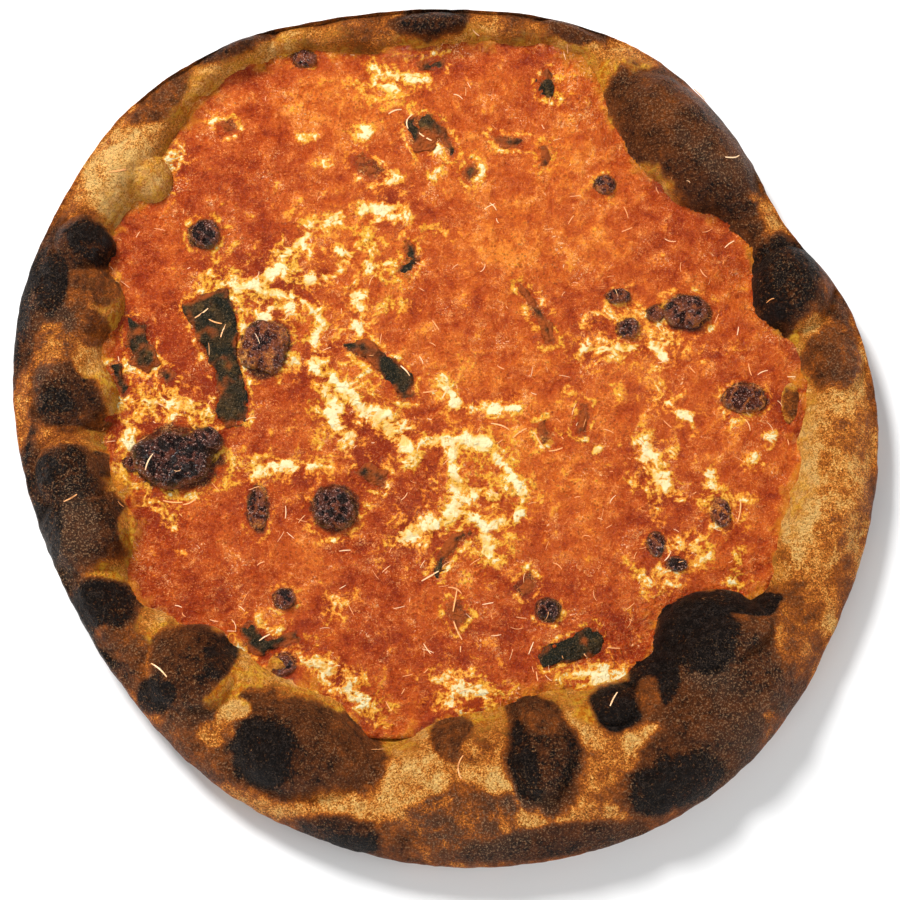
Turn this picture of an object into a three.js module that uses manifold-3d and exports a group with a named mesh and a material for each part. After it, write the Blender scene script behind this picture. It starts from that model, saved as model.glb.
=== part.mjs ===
// A twelve-inch vodka pizza: an uneven blistered dough with a raised rim, a layer of tomato
// and cream sauce strewn with grated hard cheese, melted mozzarella and torn basil leaves.
// Millimetres, +Z up. The origin is under the middle of the dough, on the surface it rests on.
import * as THREE from "three";
import { mergeVertices } from "three/addons/utils/BufferGeometryUtils.js";
import Module from "manifold-3d";

// Driving dimensions.
const SIDES = 128; // steps round the dough and the sauce
const FLOOR_Z = 3.5; // top of the thin base under the sauce
const SAUCE_Z = 6; // mean top of the sauce
const SAUCE_SWELL = 0.25; // how far the top of the sauce rises and falls
const SAUCE_WAVELENGTH = 62;
const EDGE_Z = 6.4; // where the rim comes out of the sauce
const TUCK = 4; // how far the sauce reaches back under its own edge, down the rim's foot
const GAP = 0.35; // clear distance between neighbouring pieces
const BULGE_Z = 9; // height at which the outer wall is widest
const UNDERCUT = 7; // from the widest point back to where the dough meets the table
const RIM_LOW = 9.6; // height of an imaginary rim without width
const RIM_RISE = 0.26; // rim height gained for each millimetre of its width
const CRAG = 0.7; // height of the baked crags on the rim
const BLISTER_SIDES = 9;
const LARGE_BLISTER = 7; // half-length from which a blister gets more sides
const LARGE_BLISTER_SIDES = 14;
const LEAF_THICKNESS = 0.55;
const LEAF_Z = 7.3; // underside of a leaf where it touches the sauce
const LEAF_WAVE = 1.1;
const CHEESE_BED_Z = 4.6; // bottom of the grooves that hold the melted cheese
const CHEESE_CROWN_Z = 6.85;
const CHEESE_SHOULDER = 0.55; // how far the sides of the melted cheese stay below its crown
const STROKE_STEP = 8; // distance between the cross-sections of melted cheese
const STROKE_TAPER = 0.55; // share of its width that a stroke keeps at its ends
const SHRED_COUNT = 30;
const SHRED_SEED = 12;
const SHRED_LENGTH = 4.5; // the shortest; the longest is SHRED_SPREAD longer
const SHRED_SPREAD = 4;
const SHRED_HALF = 0.6; // half-width in the middle, with SHRED_TIP at both ends
const SHRED_TIP = 0.35;
const SHRED_RISE = 0.55; // how far a shred stands out of the sauce
const SHRED_SUNK = 0.9;
const SHRED_CLEAR = 1; // clear distance round every shred

// Radii every 15 degrees of the outline, counted anticlockwise from +X.
const OUTLINE = [
  153, 150.5, 142.5, 150, 157, 157.5, 156.2, 158, 163, 164, 160, 157,
  151.4, 146.5, 144.5, 146, 150, 152.5, 155.7, 158, 160, 158.5, 154.5, 153.5,
];

// Radii every 10 degrees of the ragged edge of the sauce.
const SAUCE_EDGE = [
  126.5, 129, 119.5, 128, 122.5, 119.5, 126, 147, 146, 143, 143, 150,
  152, 148.5, 139, 139, 126, 122.5, 121, 118, 115, 124, 115, 108,
  106.5, 106, 116, 107, 104.5, 103.5, 108.5, 109, 108.5, 126, 123, 125,
];

// Bubbles of the rim: place, half-lengths, turn in degrees, height, and how sharp the edge is
// (0.5 is a hemisphere, 1.5 a soft swelling).
const RIM_BUBBLES = [
  { at: [89, 101], size: [33.4, 17.5], turn: -47, height: 6, edge: 0.7 },
  { at: [125, 46], size: [14.8, 15.2], turn: 0, height: 6, edge: 0.5 },
  { at: [138, 17], size: [10.6, 11.6], turn: 0, height: 3, edge: 0.8 },
  { at: [138, -29], size: [12, 32.7], turn: 0, height: 2.5, edge: 1.2 },
  { at: [91, -77], size: [20.4, 14.5], turn: 20, height: 6.5, edge: 0.5 },
  { at: [98, -102], size: [25.3, 21], turn: 0, height: 3.5, edge: 1 },
  { at: [57, -102], size: [8.4, 8], turn: 0, height: 5, edge: 0.5 },
  { at: [78, -129], size: [17.6, 11.6], turn: 20, height: 3, edge: 0.9 },
  { at: [32, -117], size: [9.9, 19], turn: 10, height: 4, edge: 0.7 },
  { at: [6, -115], size: [9.2, 8.7], turn: 0, height: 3.5, edge: 0.7 },
  { at: [-48, -117], size: [25.3, 16.7], turn: -10, height: 5.5, edge: 0.7 },
  { at: [-85, -90], size: [15.5, 16.7], turn: 0, height: 5, edge: 0.7 },
  { at: [-117, -71], size: [12.7, 15.2], turn: 0, height: 4, edge: 0.8 },
  { at: [-124, -44], size: [14.8, 14.5], turn: 0, height: 5.5, edge: 0.6 },
  { at: [-129, -22], size: [12.7, 13.1], turn: 0, height: 5, edge: 0.6 },
  { at: [-130, 8], size: [14.1, 15.2], turn: 0, height: 4.5, edge: 0.7 },
  { at: [-124, 41], size: [9.4, 12.2], turn: 0, height: 3.5, edge: 0.7 },
  { at: [-129, 63], size: [10.6, 10.2], turn: 0, height: 4.5, edge: 0.6 },
  { at: [-112, 93], size: [10.6, 14.5], turn: 45, height: 2.5, edge: 1.2 },
  { at: [-77, 141], size: [14.8, 8], turn: 25, height: 3, edge: 1 },
  { at: [-5, 149], size: [12.7, 6], turn: 3, height: 3.5, edge: 0.7 },
  { at: [48, 146], size: [14.1, 7], turn: -15, height: 3, edge: 1 },
  { at: [-11, -136], size: [14.1, 10.9], turn: 0, height: 2.5, edge: 1.2 },
  { at: [-36, -142], size: [14.8, 7.3], turn: -10, height: 2, edge: 1 },
];

// Blisters of the base that break through the sauce: place, half-lengths and height of the top.
const BLISTERS = [
  { at: [-94, -15], size: [14.6, 10.6], top: 12.5 },
  { at: [-84, -9], size: [5.5, 4.5], top: 13.2 },
  { at: [-110, -17], size: [3.4, 2.9], top: 8.2 },
  { at: [-87, 69], size: [5.3, 5.4], top: 10 },
  { at: [-64, 26], size: [8.6, 10.2], top: 10.5 },
  { at: [-38, -33], size: [7.5, 7.8], top: 11.5 },
  { at: [-65, -33], size: [3.8, 8.2], top: 8.4 },
  { at: [-55, -65], size: [3.8, 3.6], top: 8.8 },
  { at: [59, 88], size: [3.9, 3.6], top: 9.2 },
  { at: [63, 45], size: [4.4, 2.9], top: 8.8 },
  { at: [87, 39], size: [8.2, 6.2], top: 10.4 },
  { at: [66, 33], size: [4.2, 3.6], top: 8.8 },
  { at: [76.5, 38.5], size: [3.6, 3], top: 8.4 },
  { at: [107, 7], size: [7.2, 5.2], top: 9.4 },
  { at: [97, -34.5], size: [3.5, 5.4], top: 8.8 },
  { at: [74, -46], size: [3.2, 4.2], top: 8.6 },
  { at: [81, -53], size: [3.4, 2.5], top: 8.4 },
  { at: [36, -69], size: [4.2, 4], top: 9.6 },
  { at: [-52, 138], size: [4.6, 3.4], top: 9 },
  { at: [-55, -88], size: [4.4, 4], top: 9 },
];

// Melted mozzarella: every piece is a web of strokes with their half-widths.
const MOZZARELLA = {
  centre: [
    { half: 2.6, path: [[-2.5, -8], [3.5, -9.5], [3, -20], [5.5, -30], [0, -37.5], [-14.5, -43]] },
    {
      half: 2.2,
      path: [[2, -9], [13.5, -8.5], [24, -20.5], [28, -29], [25.5, -37.5], [15, -39.5], [4, -34]],
    },
    { half: 1.7, path: [[13.5, -38], [16, -50.5]] },
    { half: 1.5, path: [[4, -24.5], [17.5, -29]] },
  ],
  diagonal: [{ half: 2.6, path: [[-45, 19], [-35, 10.5], [-27, 1], [-13, -9.5], [-9.5, -16.5]] }],
  diagonal_left: [{ half: 2.1, path: [[-40.5, 1.5], [-37, -4], [-32.5, -9]] }],
  middle: [{ half: 1.3, path: [[3.5, 5.5], [18, 2.5], [26.5, 3.8]] }],
  upper_left: [
    { half: 1.5, path: [[-85, 54], [-78.5, 49], [-70, 49], [-63, 46]] },
    { half: 1.7, path: [[-66, 47], [-55, 45.5], [-47.5, 41], [-43, 34.5], [-46.5, 29]] },
    { half: 1.4, path: [[-66, 47], [-59, 57.5], [-50, 68.5], [-47, 74], [-40.5, 75.5], [-18, 79.5]] },
    { half: 1.3, path: [[-59, 57], [-56.5, 50.5], [-46, 51.5]] },
  ],
  upper_middle: [{ half: 1.2, path: [[-32.5, 47], [-31.5, 38], [-30.5, 31]] }],
  upper_right: [{ half: 1.3, path: [[50, 25], [66.5, 26.2], [84, 29]] }],
  right: [{ half: 1.8, path: [[71, -10.5], [72.5, -18.5], [76.5, -26.5]] }],
  right_outer: [{ half: 1.3, path: [[73.5, 8.5], [81, 4.5], [88, -0.5]] }],
  left_band: [{ half: 2.1, path: [[-114.5, 7], [-107.5, 5.5], [-99.5, 5.5], [-86, 2.5]] }],
  middle_left: [{ half: 1.3, path: [[-65.5, -20.5], [-55.5, -19], [-47, -18]] }],
  lower_left: [{ half: 1.6, path: [[-47, -86.5], [-35, -89.5], [-29, -98], [-24, -105]] }],
  lower_right: [{ half: 1.5, path: [[41.5, -91.5], [49, -90.5], [57, -88]] }],
  bottom: [{ half: 1.9, path: [[-4, -91.5], [2, -94], [16, -96]] }],
  top: [{ half: 1.8, path: [[-27, 135], [-18.5, 132], [-8, 130]] }],
};

// Torn basil: the outline of each leaf as it lies.
const LEAVES = [
  [
    [-94, 42.5], [-86, 45], [-78.5, 48], [-74.5, 39], [-74, 22],
    [-72.5, 7], [-77, -3.5], [-82, 2.5], [-81.5, 13.5], [-87, 26.5],
  ],
  [[-14.5, 114], [-5, 116.5], [1, 110.5], [5, 101.5], [3, 98.5], [-1.5, 106], [-5, 101.5], [-11, 101]],
  [[38.5, 134.5], [41.5, 128], [41, 122], [35.5, 123.5], [35, 129]],
  [[-38, 27.5], [-28, 28.5], [-18.5, 22.5], [-10.5, 15], [-9.5, 6.5], [-14.5, 6], [-21, 15], [-30, 23]],
  [
    [-71.5, -75.5], [-66.5, -71], [-61, -78.5], [-50.5, -75.5],
    [-48.5, -79.5], [-57.5, -82], [-62, -85.5], [-66.5, -83.5],
  ],
  [[33, -84.5], [41, -79.5], [52.5, -74], [56, -79.5], [55, -83.5], [44, -87], [34, -89]],
  [[-4, -55.5], [-1, -48.5], [3, -42.5], [9.5, -39.5], [12, -42.5], [6.5, -45], [2.5, -50], [-2, -58]],
  [[-113.5, 36.5], [-106, 35], [-104.5, 27], [-101.5, 20], [-106, 16], [-112, 20], [-113.5, 28.5]],
  [[-118.5, 18.5], [-115.5, 19.5], [-111.5, 10.5], [-113.5, 7.5], [-117.5, 13]],
  [[-15, 68], [-10, 65], [-9.5, 58], [-13.5, 52], [-17, 55], [-14.5, 60.5]],
  [[16.5, 108.5], [22.5, 108], [30.5, 107], [29, 102.5], [20.5, 103.5]],
  [[-34.5, 98.5], [-30, 101.5], [-22.5, 94], [-26.5, 90.5], [-32, 93.5]],
  [[6, 93], [10.5, 97.5], [13.5, 93.5], [9, 88]],
  [[26, 50], [31, 47], [37, 38], [40.5, 28], [36, 26], [34, 35]],
  [[48.5, 5.5], [51.5, 5], [50, -6.5], [47, -6]],
  [[-31.5, -20], [-27, -16], [-19.5, -20], [-21, -26.5], [-26, -25.5]],
  [[35, 104.5], [38.5, 104.5], [39, 95.5], [35, 95]],
  [[0, -67], [5, -65.5], [8.5, -71], [4.5, -76.5]],
  [[24.5, -61], [30, -56], [33, -60], [28, -64.5]],
  [[-12, 138], [-4, 138.5], [1, 140], [0, 133.5], [-9, 133.5]],
  [[-102.5, 16.5], [-99, 19], [-95, 16.5], [-98, 12]],
  [[32, -3], [36, -0.5], [39, -6.5], [35, -9.5]],
  [[-84, 112], [-79, 114], [-76, 109.5], [-81, 107.5]],
];

const crustColour = new THREE.MeshStandardMaterial({ color: 0xb9824a, roughness: 0.8, metalness: 0 });
const sauceColour = new THREE.MeshStandardMaterial({ color: 0xc85c22, roughness: 0.4, metalness: 0 });
const cheeseColour = new THREE.MeshStandardMaterial({ color: 0xffe29a, roughness: 0.45, metalness: 0 });
const leafColour = new THREE.MeshStandardMaterial({ color: 0x3a3a1c, roughness: 0.5, metalness: 0 });

const wasm = await Module();
wasm.setup();

// A closed geometry as a solid that can be joined and cut.
function toSolid(geometry) {
  const bare = geometry.index ? geometry.toNonIndexed() : geometry.clone();
  bare.deleteAttribute("normal");
  bare.deleteAttribute("uv");
  const merged = mergeVertices(bare, 1e-4);
  return new wasm.Manifold(
    new wasm.Mesh({
      numProp: 3,
      vertProperties: merged.attributes.position.array,
      triVerts: new Uint32Array(merged.index.array),
    }),
  );
}

function toGeometry(solid) {
  const mesh = solid.getMesh();
  const geometry = new THREE.BufferGeometry();
  geometry.setAttribute("position", new THREE.BufferAttribute(mesh.vertProperties, 3));
  geometry.setIndex(new THREE.BufferAttribute(mesh.triVerts, 1));
  geometry.computeVertexNormals();
  return geometry;
}

function geometryFrom(points, index) {
  const geometry = new THREE.BufferGeometry();
  geometry.setAttribute("position", new THREE.Float32BufferAttribute(points.flat(), 3));
  geometry.setIndex(index);
  return geometry;
}

// A smooth closed curve through radii spaced evenly round the circle, read at any angle.
function radiusAt(radii, angle) {
  const count = radii.length;
  const place = (((angle / (2 * Math.PI)) % 1) + 1) * count;
  const step = Math.floor(place);
  const [before, from, to, after] = [-1, 0, 1, 2].map((k) => radii[(step + k + count) % count]);
  const t = place - step;
  const slopeFrom = (to - before) / 2;
  const slopeTo = (after - from) / 2;
  const bend = 2 * (from - to) + slopeFrom + slopeTo;
  const sag = 3 * (to - from) - 2 * slopeFrom - slopeTo;
  return from + t * (slopeFrom + t * (sag + t * bend));
}

// A slow unevenness between -1 and 1.
function swell(x, y, wavelength, phase) {
  const k = (2 * Math.PI) / wavelength;
  return (
    0.5 * Math.sin(k * (0.83 * x + 0.56 * y) + phase) +
    0.5 * Math.sin(k * (0.71 * y - 0.9 * x) + 1.7 * phase)
  );
}

function seededRandom(seed) {
  let state = seed;
  return () => {
    state = (state * 16807) % 2147483647;
    return state / 2147483647;
  };
}

// A closed body between two poles: rings of points from the upper pole outwards and back underneath.
// A ring has as many points as the one before it, or twice as many.
function ringBody(upperPole, rings, lowerPole) {
  const points = [upperPole, ...rings.flat(), lowerPole];
  const index = [];
  let start = 1;
  const at = (first, count, k) => first + (k % count);
  rings[0].forEach((_, k) => index.push(0, at(1, rings[0].length, k), at(1, rings[0].length, k + 1)));
  for (let r = 0; r < rings.length - 1; r += 1) {
    const count = rings[r].length;
    const outer = start + count;
    const doubled = rings[r + 1].length === 2 * count;
    const outerCount = rings[r + 1].length;
    for (let k = 0; k < count; k += 1) {
      const [a, b] = [at(start, count, k), at(start, count, k + 1)];
      if (doubled) {
        const [c, d, e] = [0, 1, 2].map((step) => at(outer, outerCount, 2 * k + step));
        index.push(a, c, d, a, d, b, b, d, e);
      } else {
        const [c, d] = [at(outer, outerCount, k), at(outer, outerCount, k + 1)];
        index.push(a, c, d, a, d, b);
      }
    }
    start = outer;
  }
  const lastCount = points.length - 1 - start;
  for (let k = 0; k < lastCount; k += 1) {
    index.push(points.length - 1, at(start, lastCount, k + 1), at(start, lastCount, k));
  }
  return geometryFrom(points, index);
}

// One ring: a function gives the radius and height at each angle.
function ring(pointAt, count = SIDES) {
  return Array.from({ length: count }, (_, k) => {
    const angle = (2 * Math.PI * k) / count;
    const [radius, z] = pointAt(angle);
    return [radius * Math.cos(angle), radius * Math.sin(angle), z];
  });
}

// Height that a bubble of the rim adds at a point.
function bubbleHeight(bubble, x, y) {
  const turn = THREE.MathUtils.degToRad(bubble.turn);
  const dx = x - bubble.at[0];
  const dy = y - bubble.at[1];
  const along = (dx * Math.cos(turn) + dy * Math.sin(turn)) / bubble.size[0];
  const across = (dy * Math.cos(turn) - dx * Math.sin(turn)) / bubble.size[1];
  const inside = 1 - along * along - across * across;
  return inside > 0 ? bubble.height * inside ** bubble.edge : 0;
}

// Section of the rim: share of its width from the sauce outwards, and share of its height.
const RIM_SECTION = [
  [0.07, 0.34],
  [0.18, 0.66],
  [0.32, 0.88],
  [0.48, 1],
  [0.64, 0.99],
  [0.78, 0.88],
  [0.9, 0.68],
];

// Section of the outer wall below its crest: distance in from the outline, and height.
const WALL_SECTION = [
  [0.6, 12.4],
  [0, BULGE_Z],
  [1.1, 4.8],
  [3.6, 1.5],
  [UNDERCUT, 0],
];

function rimPoint(angle, share, lift) {
  const inner = radiusAt(SAUCE_EDGE, angle);
  const width = radiusAt(OUTLINE, angle) - inner;
  const radius = inner + share * width;
  const x = radius * Math.cos(angle);
  const y = radius * Math.sin(angle);
  const crest = RIM_LOW + RIM_RISE * width;
  const bubbles = RIM_BUBBLES.reduce((most, b) => Math.max(most, bubbleHeight(b, x, y)), 0);
  const crags = CRAG * lift * (swell(x, y, 17, 1) + 0.8 * swell(x, y, 31, 4));
  return [radius, EDGE_Z + lift * (crest - EDGE_Z) + lift * bubbles + crags];
}

// A blister is a dome with steep sides; grow widens it for the pieces cut round it.
function blister({ at, size, top }, foot, grow) {
  const rise = top + grow - foot;
  const profile = [
    [0, 0],
    [1, 0],
    [1, 0.45],
    [0.76, 0.86],
    [0, 1],
  ].map(([r, z]) => new THREE.Vector2(r, z));
  const sides = size[0] > LARGE_BLISTER ? LARGE_BLISTER_SIDES : BLISTER_SIDES;
  const dome = new THREE.LatheGeometry(profile, sides);
  dome.rotateX(Math.PI / 2);
  dome.scale(size[0] + grow, size[1] + grow, rise);
  dome.translate(at[0], at[1], foot);
  return toSolid(dome);
}

function makeDough() {
  const rings = [
    ring((angle) => [radiusAt(SAUCE_EDGE, angle) - TUCK, FLOOR_Z]),
    ring((angle) => [radiusAt(SAUCE_EDGE, angle), EDGE_Z]),
    ...RIM_SECTION.map(([share, lift]) => ring((angle) => rimPoint(angle, share, lift))),
    ...WALL_SECTION.map(([inset, z]) => ring((angle) => [radiusAt(OUTLINE, angle) - inset, z])),
  ];
  const base = toSolid(ringBody([0, 0, FLOOR_Z], rings, [0, 0, 0]));
  return BLISTERS.reduce((dough, b) => dough.add(blister(b, FLOOR_Z - 1, 0)), base);
}

// A closed body swept through cross-sections that all have the same number of points.
function loft(sections) {
  const count = sections[0].length;
  const points = sections.flat();
  const index = [];
  const last = (sections.length - 1) * count;
  for (let s = 0; s < sections.length - 1; s += 1) {
    for (let k = 0; k < count; k += 1) {
      const a = s * count + k;
      const b = s * count + ((k + 1) % count);
      index.push(a, b + count, a + count, a, b, b + count);
    }
  }
  for (let k = 1; k < count - 1; k += 1) {
    index.push(0, k + 1, k, last, last + k, last + k + 1);
  }
  return toSolid(geometryFrom(points, index));
}

// A stroke of melted cheese along a smooth path, or with grow the room that it needs in the sauce.
function stroke({ path, half }, foot, crown, grow) {
  const curve = new THREE.CatmullRomCurve3(path.map(([x, y]) => new THREE.Vector3(x, y, 0)));
  const steps = Math.max(2, Math.round(curve.getLength() / STROKE_STEP));
  const sections = [];
  for (let k = 0; k <= steps; k += 1) {
    const t = k / steps;
    const { x, y } = curve.getPointAt(t);
    const along = curve.getTangentAt(t);
    const taper = k === 0 || k === steps ? STROKE_TAPER : 1;
    const width = half * taper * (1 + 0.3 * swell(x, y, 13, 2)) + grow;
    const shoulder = crown - CHEESE_SHOULDER;
    sections.push(
      [
        [-1, foot],
        [1, foot],
        [1, shoulder],
        [0, crown],
        [-1, shoulder],
      ].map(([side, z]) => [x - along.y * side * width, y + along.x * side * width, z]),
    );
  }
  return loft(sections);
}

function joined(solids) {
  return solids.reduce((whole, solid) => whole.add(solid));
}

const blisterRoom = joined(BLISTERS.map((b) => blister(b, FLOOR_Z - 1, GAP)));

function makeMozzarella(strokes) {
  const web = joined(strokes.map((s) => stroke(s, CHEESE_BED_Z + GAP, CHEESE_CROWN_Z, 0)));
  return web.subtract(blisterRoom);
}

// The sauce fills the floor of the dough up to the rim and round the blisters.
function sauceTop(x, y) {
  return SAUCE_Z + SAUCE_SWELL * swell(x, y, SAUCE_WAVELENGTH, 3);
}

function makeSauceLayer() {
  const setBack = (TUCK * (EDGE_Z - SAUCE_Z + SAUCE_SWELL)) / (EDGE_Z - FLOOR_Z) + GAP;
  const topRing = ([share, count]) =>
    ring((angle) => {
      const radius = share * (radiusAt(SAUCE_EDGE, angle) - setBack);
      return [radius, sauceTop(radius * Math.cos(angle), radius * Math.sin(angle))];
    }, count);
  const rings = [
    ...[[0.25, SIDES / 8], [0.5, SIDES / 4], [0.78, SIDES / 2], [1, SIDES]].map(topRing),
    ring((angle) => [radiusAt(SAUCE_EDGE, angle) - TUCK - 1.4 * GAP, FLOOR_Z]),
  ];
  return toSolid(ringBody([0, 0, sauceTop(0, 0)], rings, [0, 0, FLOOR_Z]));
}

// A shred of grated hard cheese: a bent strip half sunk in the sauce.
function shred(x, y, turn, length, bend) {
  const sections = [-0.5, 0, 0.5].map((t) => {
    const side = bend * (0.25 - t * t);
    const width = t === 0 ? SHRED_HALF : SHRED_TIP;
    const z = sauceTop(x, y);
    return [
      [-width, z - SHRED_SUNK],
      [width, z - SHRED_SUNK],
      [width, z + SHRED_RISE],
      [-width, z + SHRED_RISE],
    ].map(([across, height]) => {
      const along = t * length;
      return [
        x + along * Math.cos(turn) - (side + across) * Math.sin(turn),
        y + along * Math.sin(turn) + (side + across) * Math.cos(turn),
        height,
      ];
    });
  });
  return loft(sections);
}

// Where other pieces lie, as discs that a shred has to stay clear of.
function occupied() {
  const discs = BLISTERS.map(({ at, size }) => [...at, Math.max(...size)]);
  for (const strokes of Object.values(MOZZARELLA)) {
    for (const { path, half } of strokes) {
      const curve = new THREE.CatmullRomCurve3(path.map(([x, y]) => new THREE.Vector3(x, y, 0)));
      curve.getSpacedPoints(12).forEach((p) => discs.push([p.x, p.y, half + SHRED_CLEAR]));
    }
  }
  for (const leaf of LEAVES) {
    const box = new THREE.Box2().setFromPoints(leaf.map(([x, y]) => new THREE.Vector2(x, y)));
    const centre = box.getCenter(new THREE.Vector2());
    discs.push([centre.x, centre.y, box.getSize(new THREE.Vector2()).length() / 2]);
  }
  return discs;
}

function scatterShreds() {
  const random = seededRandom(SHRED_SEED);
  const taken = occupied();
  const shreds = [];
  while (shreds.length < SHRED_COUNT) {
    const angle = 2 * Math.PI * random();
    const radius = Math.sqrt(random()) * (radiusAt(SAUCE_EDGE, angle) - TUCK - SHRED_LENGTH);
    const x = radius * Math.cos(angle);
    const y = radius * Math.sin(angle);
    const length = SHRED_LENGTH + SHRED_SPREAD * random();
    const turn = Math.PI * random();
    const bend = 4 * random() - 2;
    const reach = length / 2 + SHRED_CLEAR;
    const free = taken.every(([cx, cy, r]) => Math.hypot(x - cx, y - cy) > r + reach);
    if (free) {
      shreds.push(shred(x, y, turn, length, bend));
      taken.push([x, y, length / 2]);
    }
  }
  return shreds;
}

function makeSauce() {
  const cheeseRoom = Object.values(MOZZARELLA)
    .flat()
    .map((s) => stroke(s, CHEESE_BED_Z, CHEESE_CROWN_Z + 2, GAP));
  const layer = makeSauceLayer().subtract(blisterRoom);
  const grooved = cheeseRoom.reduce((sauce, room) => sauce.subtract(room), layer);
  return scatterShreds().reduce((sauce, strip) => sauce.add(strip), grooved);
}

// Height of a leaf's underside: it rests on the sauce and lifts in soft folds.
function leafHeight(x, y, phase) {
  const fold = swell(x, y, 9.5, phase);
  return LEAF_Z + LEAF_WAVE * Math.max(0, fold) + sauceTop(x, y) - SAUCE_Z;
}

// A thin wavy solid. Every triangle of the outline is split in four, alike on both faces.
function makeLeaf(outline, phase) {
  const corners = outline.map(([x, y]) => new THREE.Vector2(x, y));
  if (THREE.ShapeUtils.isClockWise(corners)) corners.reverse();
  const count = corners.length;
  const rounded = new THREE.CatmullRomCurve3(
    corners.map(({ x, y }) => new THREE.Vector3(x, y, 0)),
    true,
    "catmullrom",
    0.35,
  );
  const flat = corners.map(({ x, y }) => [x, y]);
  const middles = new Map();
  // Halfway between two corners: on the rounded outline where they are neighbours.
  const middle = (a, b) => {
    const key = Math.min(a, b) + "_" + Math.max(a, b);
    if (!middles.has(key)) {
      const first = (a + 1) % count === b ? a : b;
      const onOutline = (first + 1) % count === (first === a ? b : a);
      const between = corners[a].clone().add(corners[b]).multiplyScalar(0.5);
      const { x, y } = onOutline ? rounded.getPoint((first + 0.5) / count) : between;
      middles.set(key, flat.length);
      flat.push([x, y]);
    }
    return middles.get(key);
  };
  const faces = THREE.ShapeUtils.triangulateShape(corners, []).flatMap(([a, b, c]) => {
    const [ab, bc, ca] = [middle(a, b), middle(b, c), middle(c, a)];
    return [[a, ab, ca], [ab, b, bc], [ca, bc, c], [ab, bc, ca]];
  });
  const lower = flat.map(([x, y]) => [x, y, leafHeight(x, y, phase)]);
  const upper = lower.map(([x, y, z]) => [x, y, z + LEAF_THICKNESS]);
  const lift = flat.length;
  const index = faces.flatMap(([a, b, c]) => [a + lift, b + lift, c + lift, a, c, b]);
  corners.forEach((_, k) => {
    const next = (k + 1) % count;
    const half = middle(k, next);
    for (const [from, to] of [[k, half], [half, next]]) {
      index.push(from, to, to + lift, from, to + lift, from + lift);
    }
  });
  return toSolid(geometryFrom([...lower, ...upper], index)).subtract(blisterRoom);
}

const pizza = new THREE.Group();

function place(name, solid, material) {
  const mesh = new THREE.Mesh(toGeometry(solid), material);
  mesh.name = name;
  pizza.add(mesh);
}

place("dough", makeDough(), crustColour);
place("sauce", makeSauce(), sauceColour);
for (const [name, strokes] of Object.entries(MOZZARELLA)) {
  place("mozzarella_" + name, makeMozzarella(strokes), cheeseColour);
}
LEAVES.forEach((outline, k) => {
  place("basil_leaf_" + String(k + 1).padStart(2, "0"), makeLeaf(outline, k), leafColour);
});

export default pizza;
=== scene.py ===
import math

import bpy
import numpy as np
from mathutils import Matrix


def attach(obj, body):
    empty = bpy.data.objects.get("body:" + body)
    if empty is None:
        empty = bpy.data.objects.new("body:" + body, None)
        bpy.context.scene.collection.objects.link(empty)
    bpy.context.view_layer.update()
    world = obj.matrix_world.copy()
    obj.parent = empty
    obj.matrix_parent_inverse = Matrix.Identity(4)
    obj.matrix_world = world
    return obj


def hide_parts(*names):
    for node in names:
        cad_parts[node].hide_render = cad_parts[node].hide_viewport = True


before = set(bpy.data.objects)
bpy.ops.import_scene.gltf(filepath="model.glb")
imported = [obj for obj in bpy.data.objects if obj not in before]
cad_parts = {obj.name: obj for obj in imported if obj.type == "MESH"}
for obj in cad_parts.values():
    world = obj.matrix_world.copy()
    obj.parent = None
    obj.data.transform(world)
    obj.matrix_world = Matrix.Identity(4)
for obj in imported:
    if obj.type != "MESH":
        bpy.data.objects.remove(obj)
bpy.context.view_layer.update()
mm = 0.001

# the forms below are in millimetres, the meshes in metres
form = {
    "floor": 3.5,  # top of the dough under the sauce
    "sauceTop": 6.0,
    "sauceSwell": 0.25,
    "sauceWave": 62,
    "edge": 6.4,  # height of the rim where the sauce ends
    "tuck": 4.0,  # how far the foot of the rim slopes down under the sauce
    "rimLow": 9.6,
    "rimRise": 0.26,  # more height for each millimetre of the rim's width
    "crag": 0.7,
    "highest": 27.6,
    # radii of the outer edge and of the edge of the sauce, evenly spaced round the pizza
    "outline": [153, 150.5, 142.5, 150, 157, 157.5, 156.2, 158, 163, 164, 160, 157,
                151.4, 146.5, 144.5, 146, 150, 152.5, 155.7, 158, 160, 158.5, 154.5, 153.5],
    "sauceEdge": [126.5, 129, 119.5, 128, 122.5, 119.5, 126, 147, 146, 143, 143, 150,
                  152, 148.5, 139, 139, 126, 122.5, 121, 118, 115, 124, 115, 108,
                  106.5, 106, 116, 107, 104.5, 103.5, 108.5, 109, 108.5, 126, 123, 125],
    # across the rim: share of its width and of its height
    "section": [(0, 0), (0.07, 0.34), (0.18, 0.66), (0.32, 0.88), (0.48, 1),
                (0.64, 0.99), (0.78, 0.88), (0.9, 0.68), (1, 0.45)],
    "wall": [(0.6, 12.4), (0, 9), (1.1, 4.8), (3.6, 1.5), (7, 0)],  # inset and height
}


def smoothStep(low, high, value):
    t = np.clip((value - low) / (high - low), 0, 1)
    return t * t * (3 - 2 * t)


# a closed smooth curve of radii, read at any angle
def radiusAt(radii, angle):
    radii = np.asarray(radii, float)
    count = len(radii)
    place = (angle / (2 * math.pi)) % 1 * count
    step = np.floor(place).astype(int)
    before, start, end, after = [radii[(step + k) % count] for k in (-1, 0, 1, 2)]
    t = place - step
    slopeA, slopeB = (end - before) / 2, (after - start) / 2
    return start + t * (slopeA + t * (3 * (end - start) - 2 * slopeA - slopeB
                                      + t * (2 * (start - end) + slopeA + slopeB)))


# radii of the foot and of the outer edge of the rim
def rimRadii(angle):
    return radiusAt(form["sauceEdge"], angle), radiusAt(form["outline"], angle)


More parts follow.
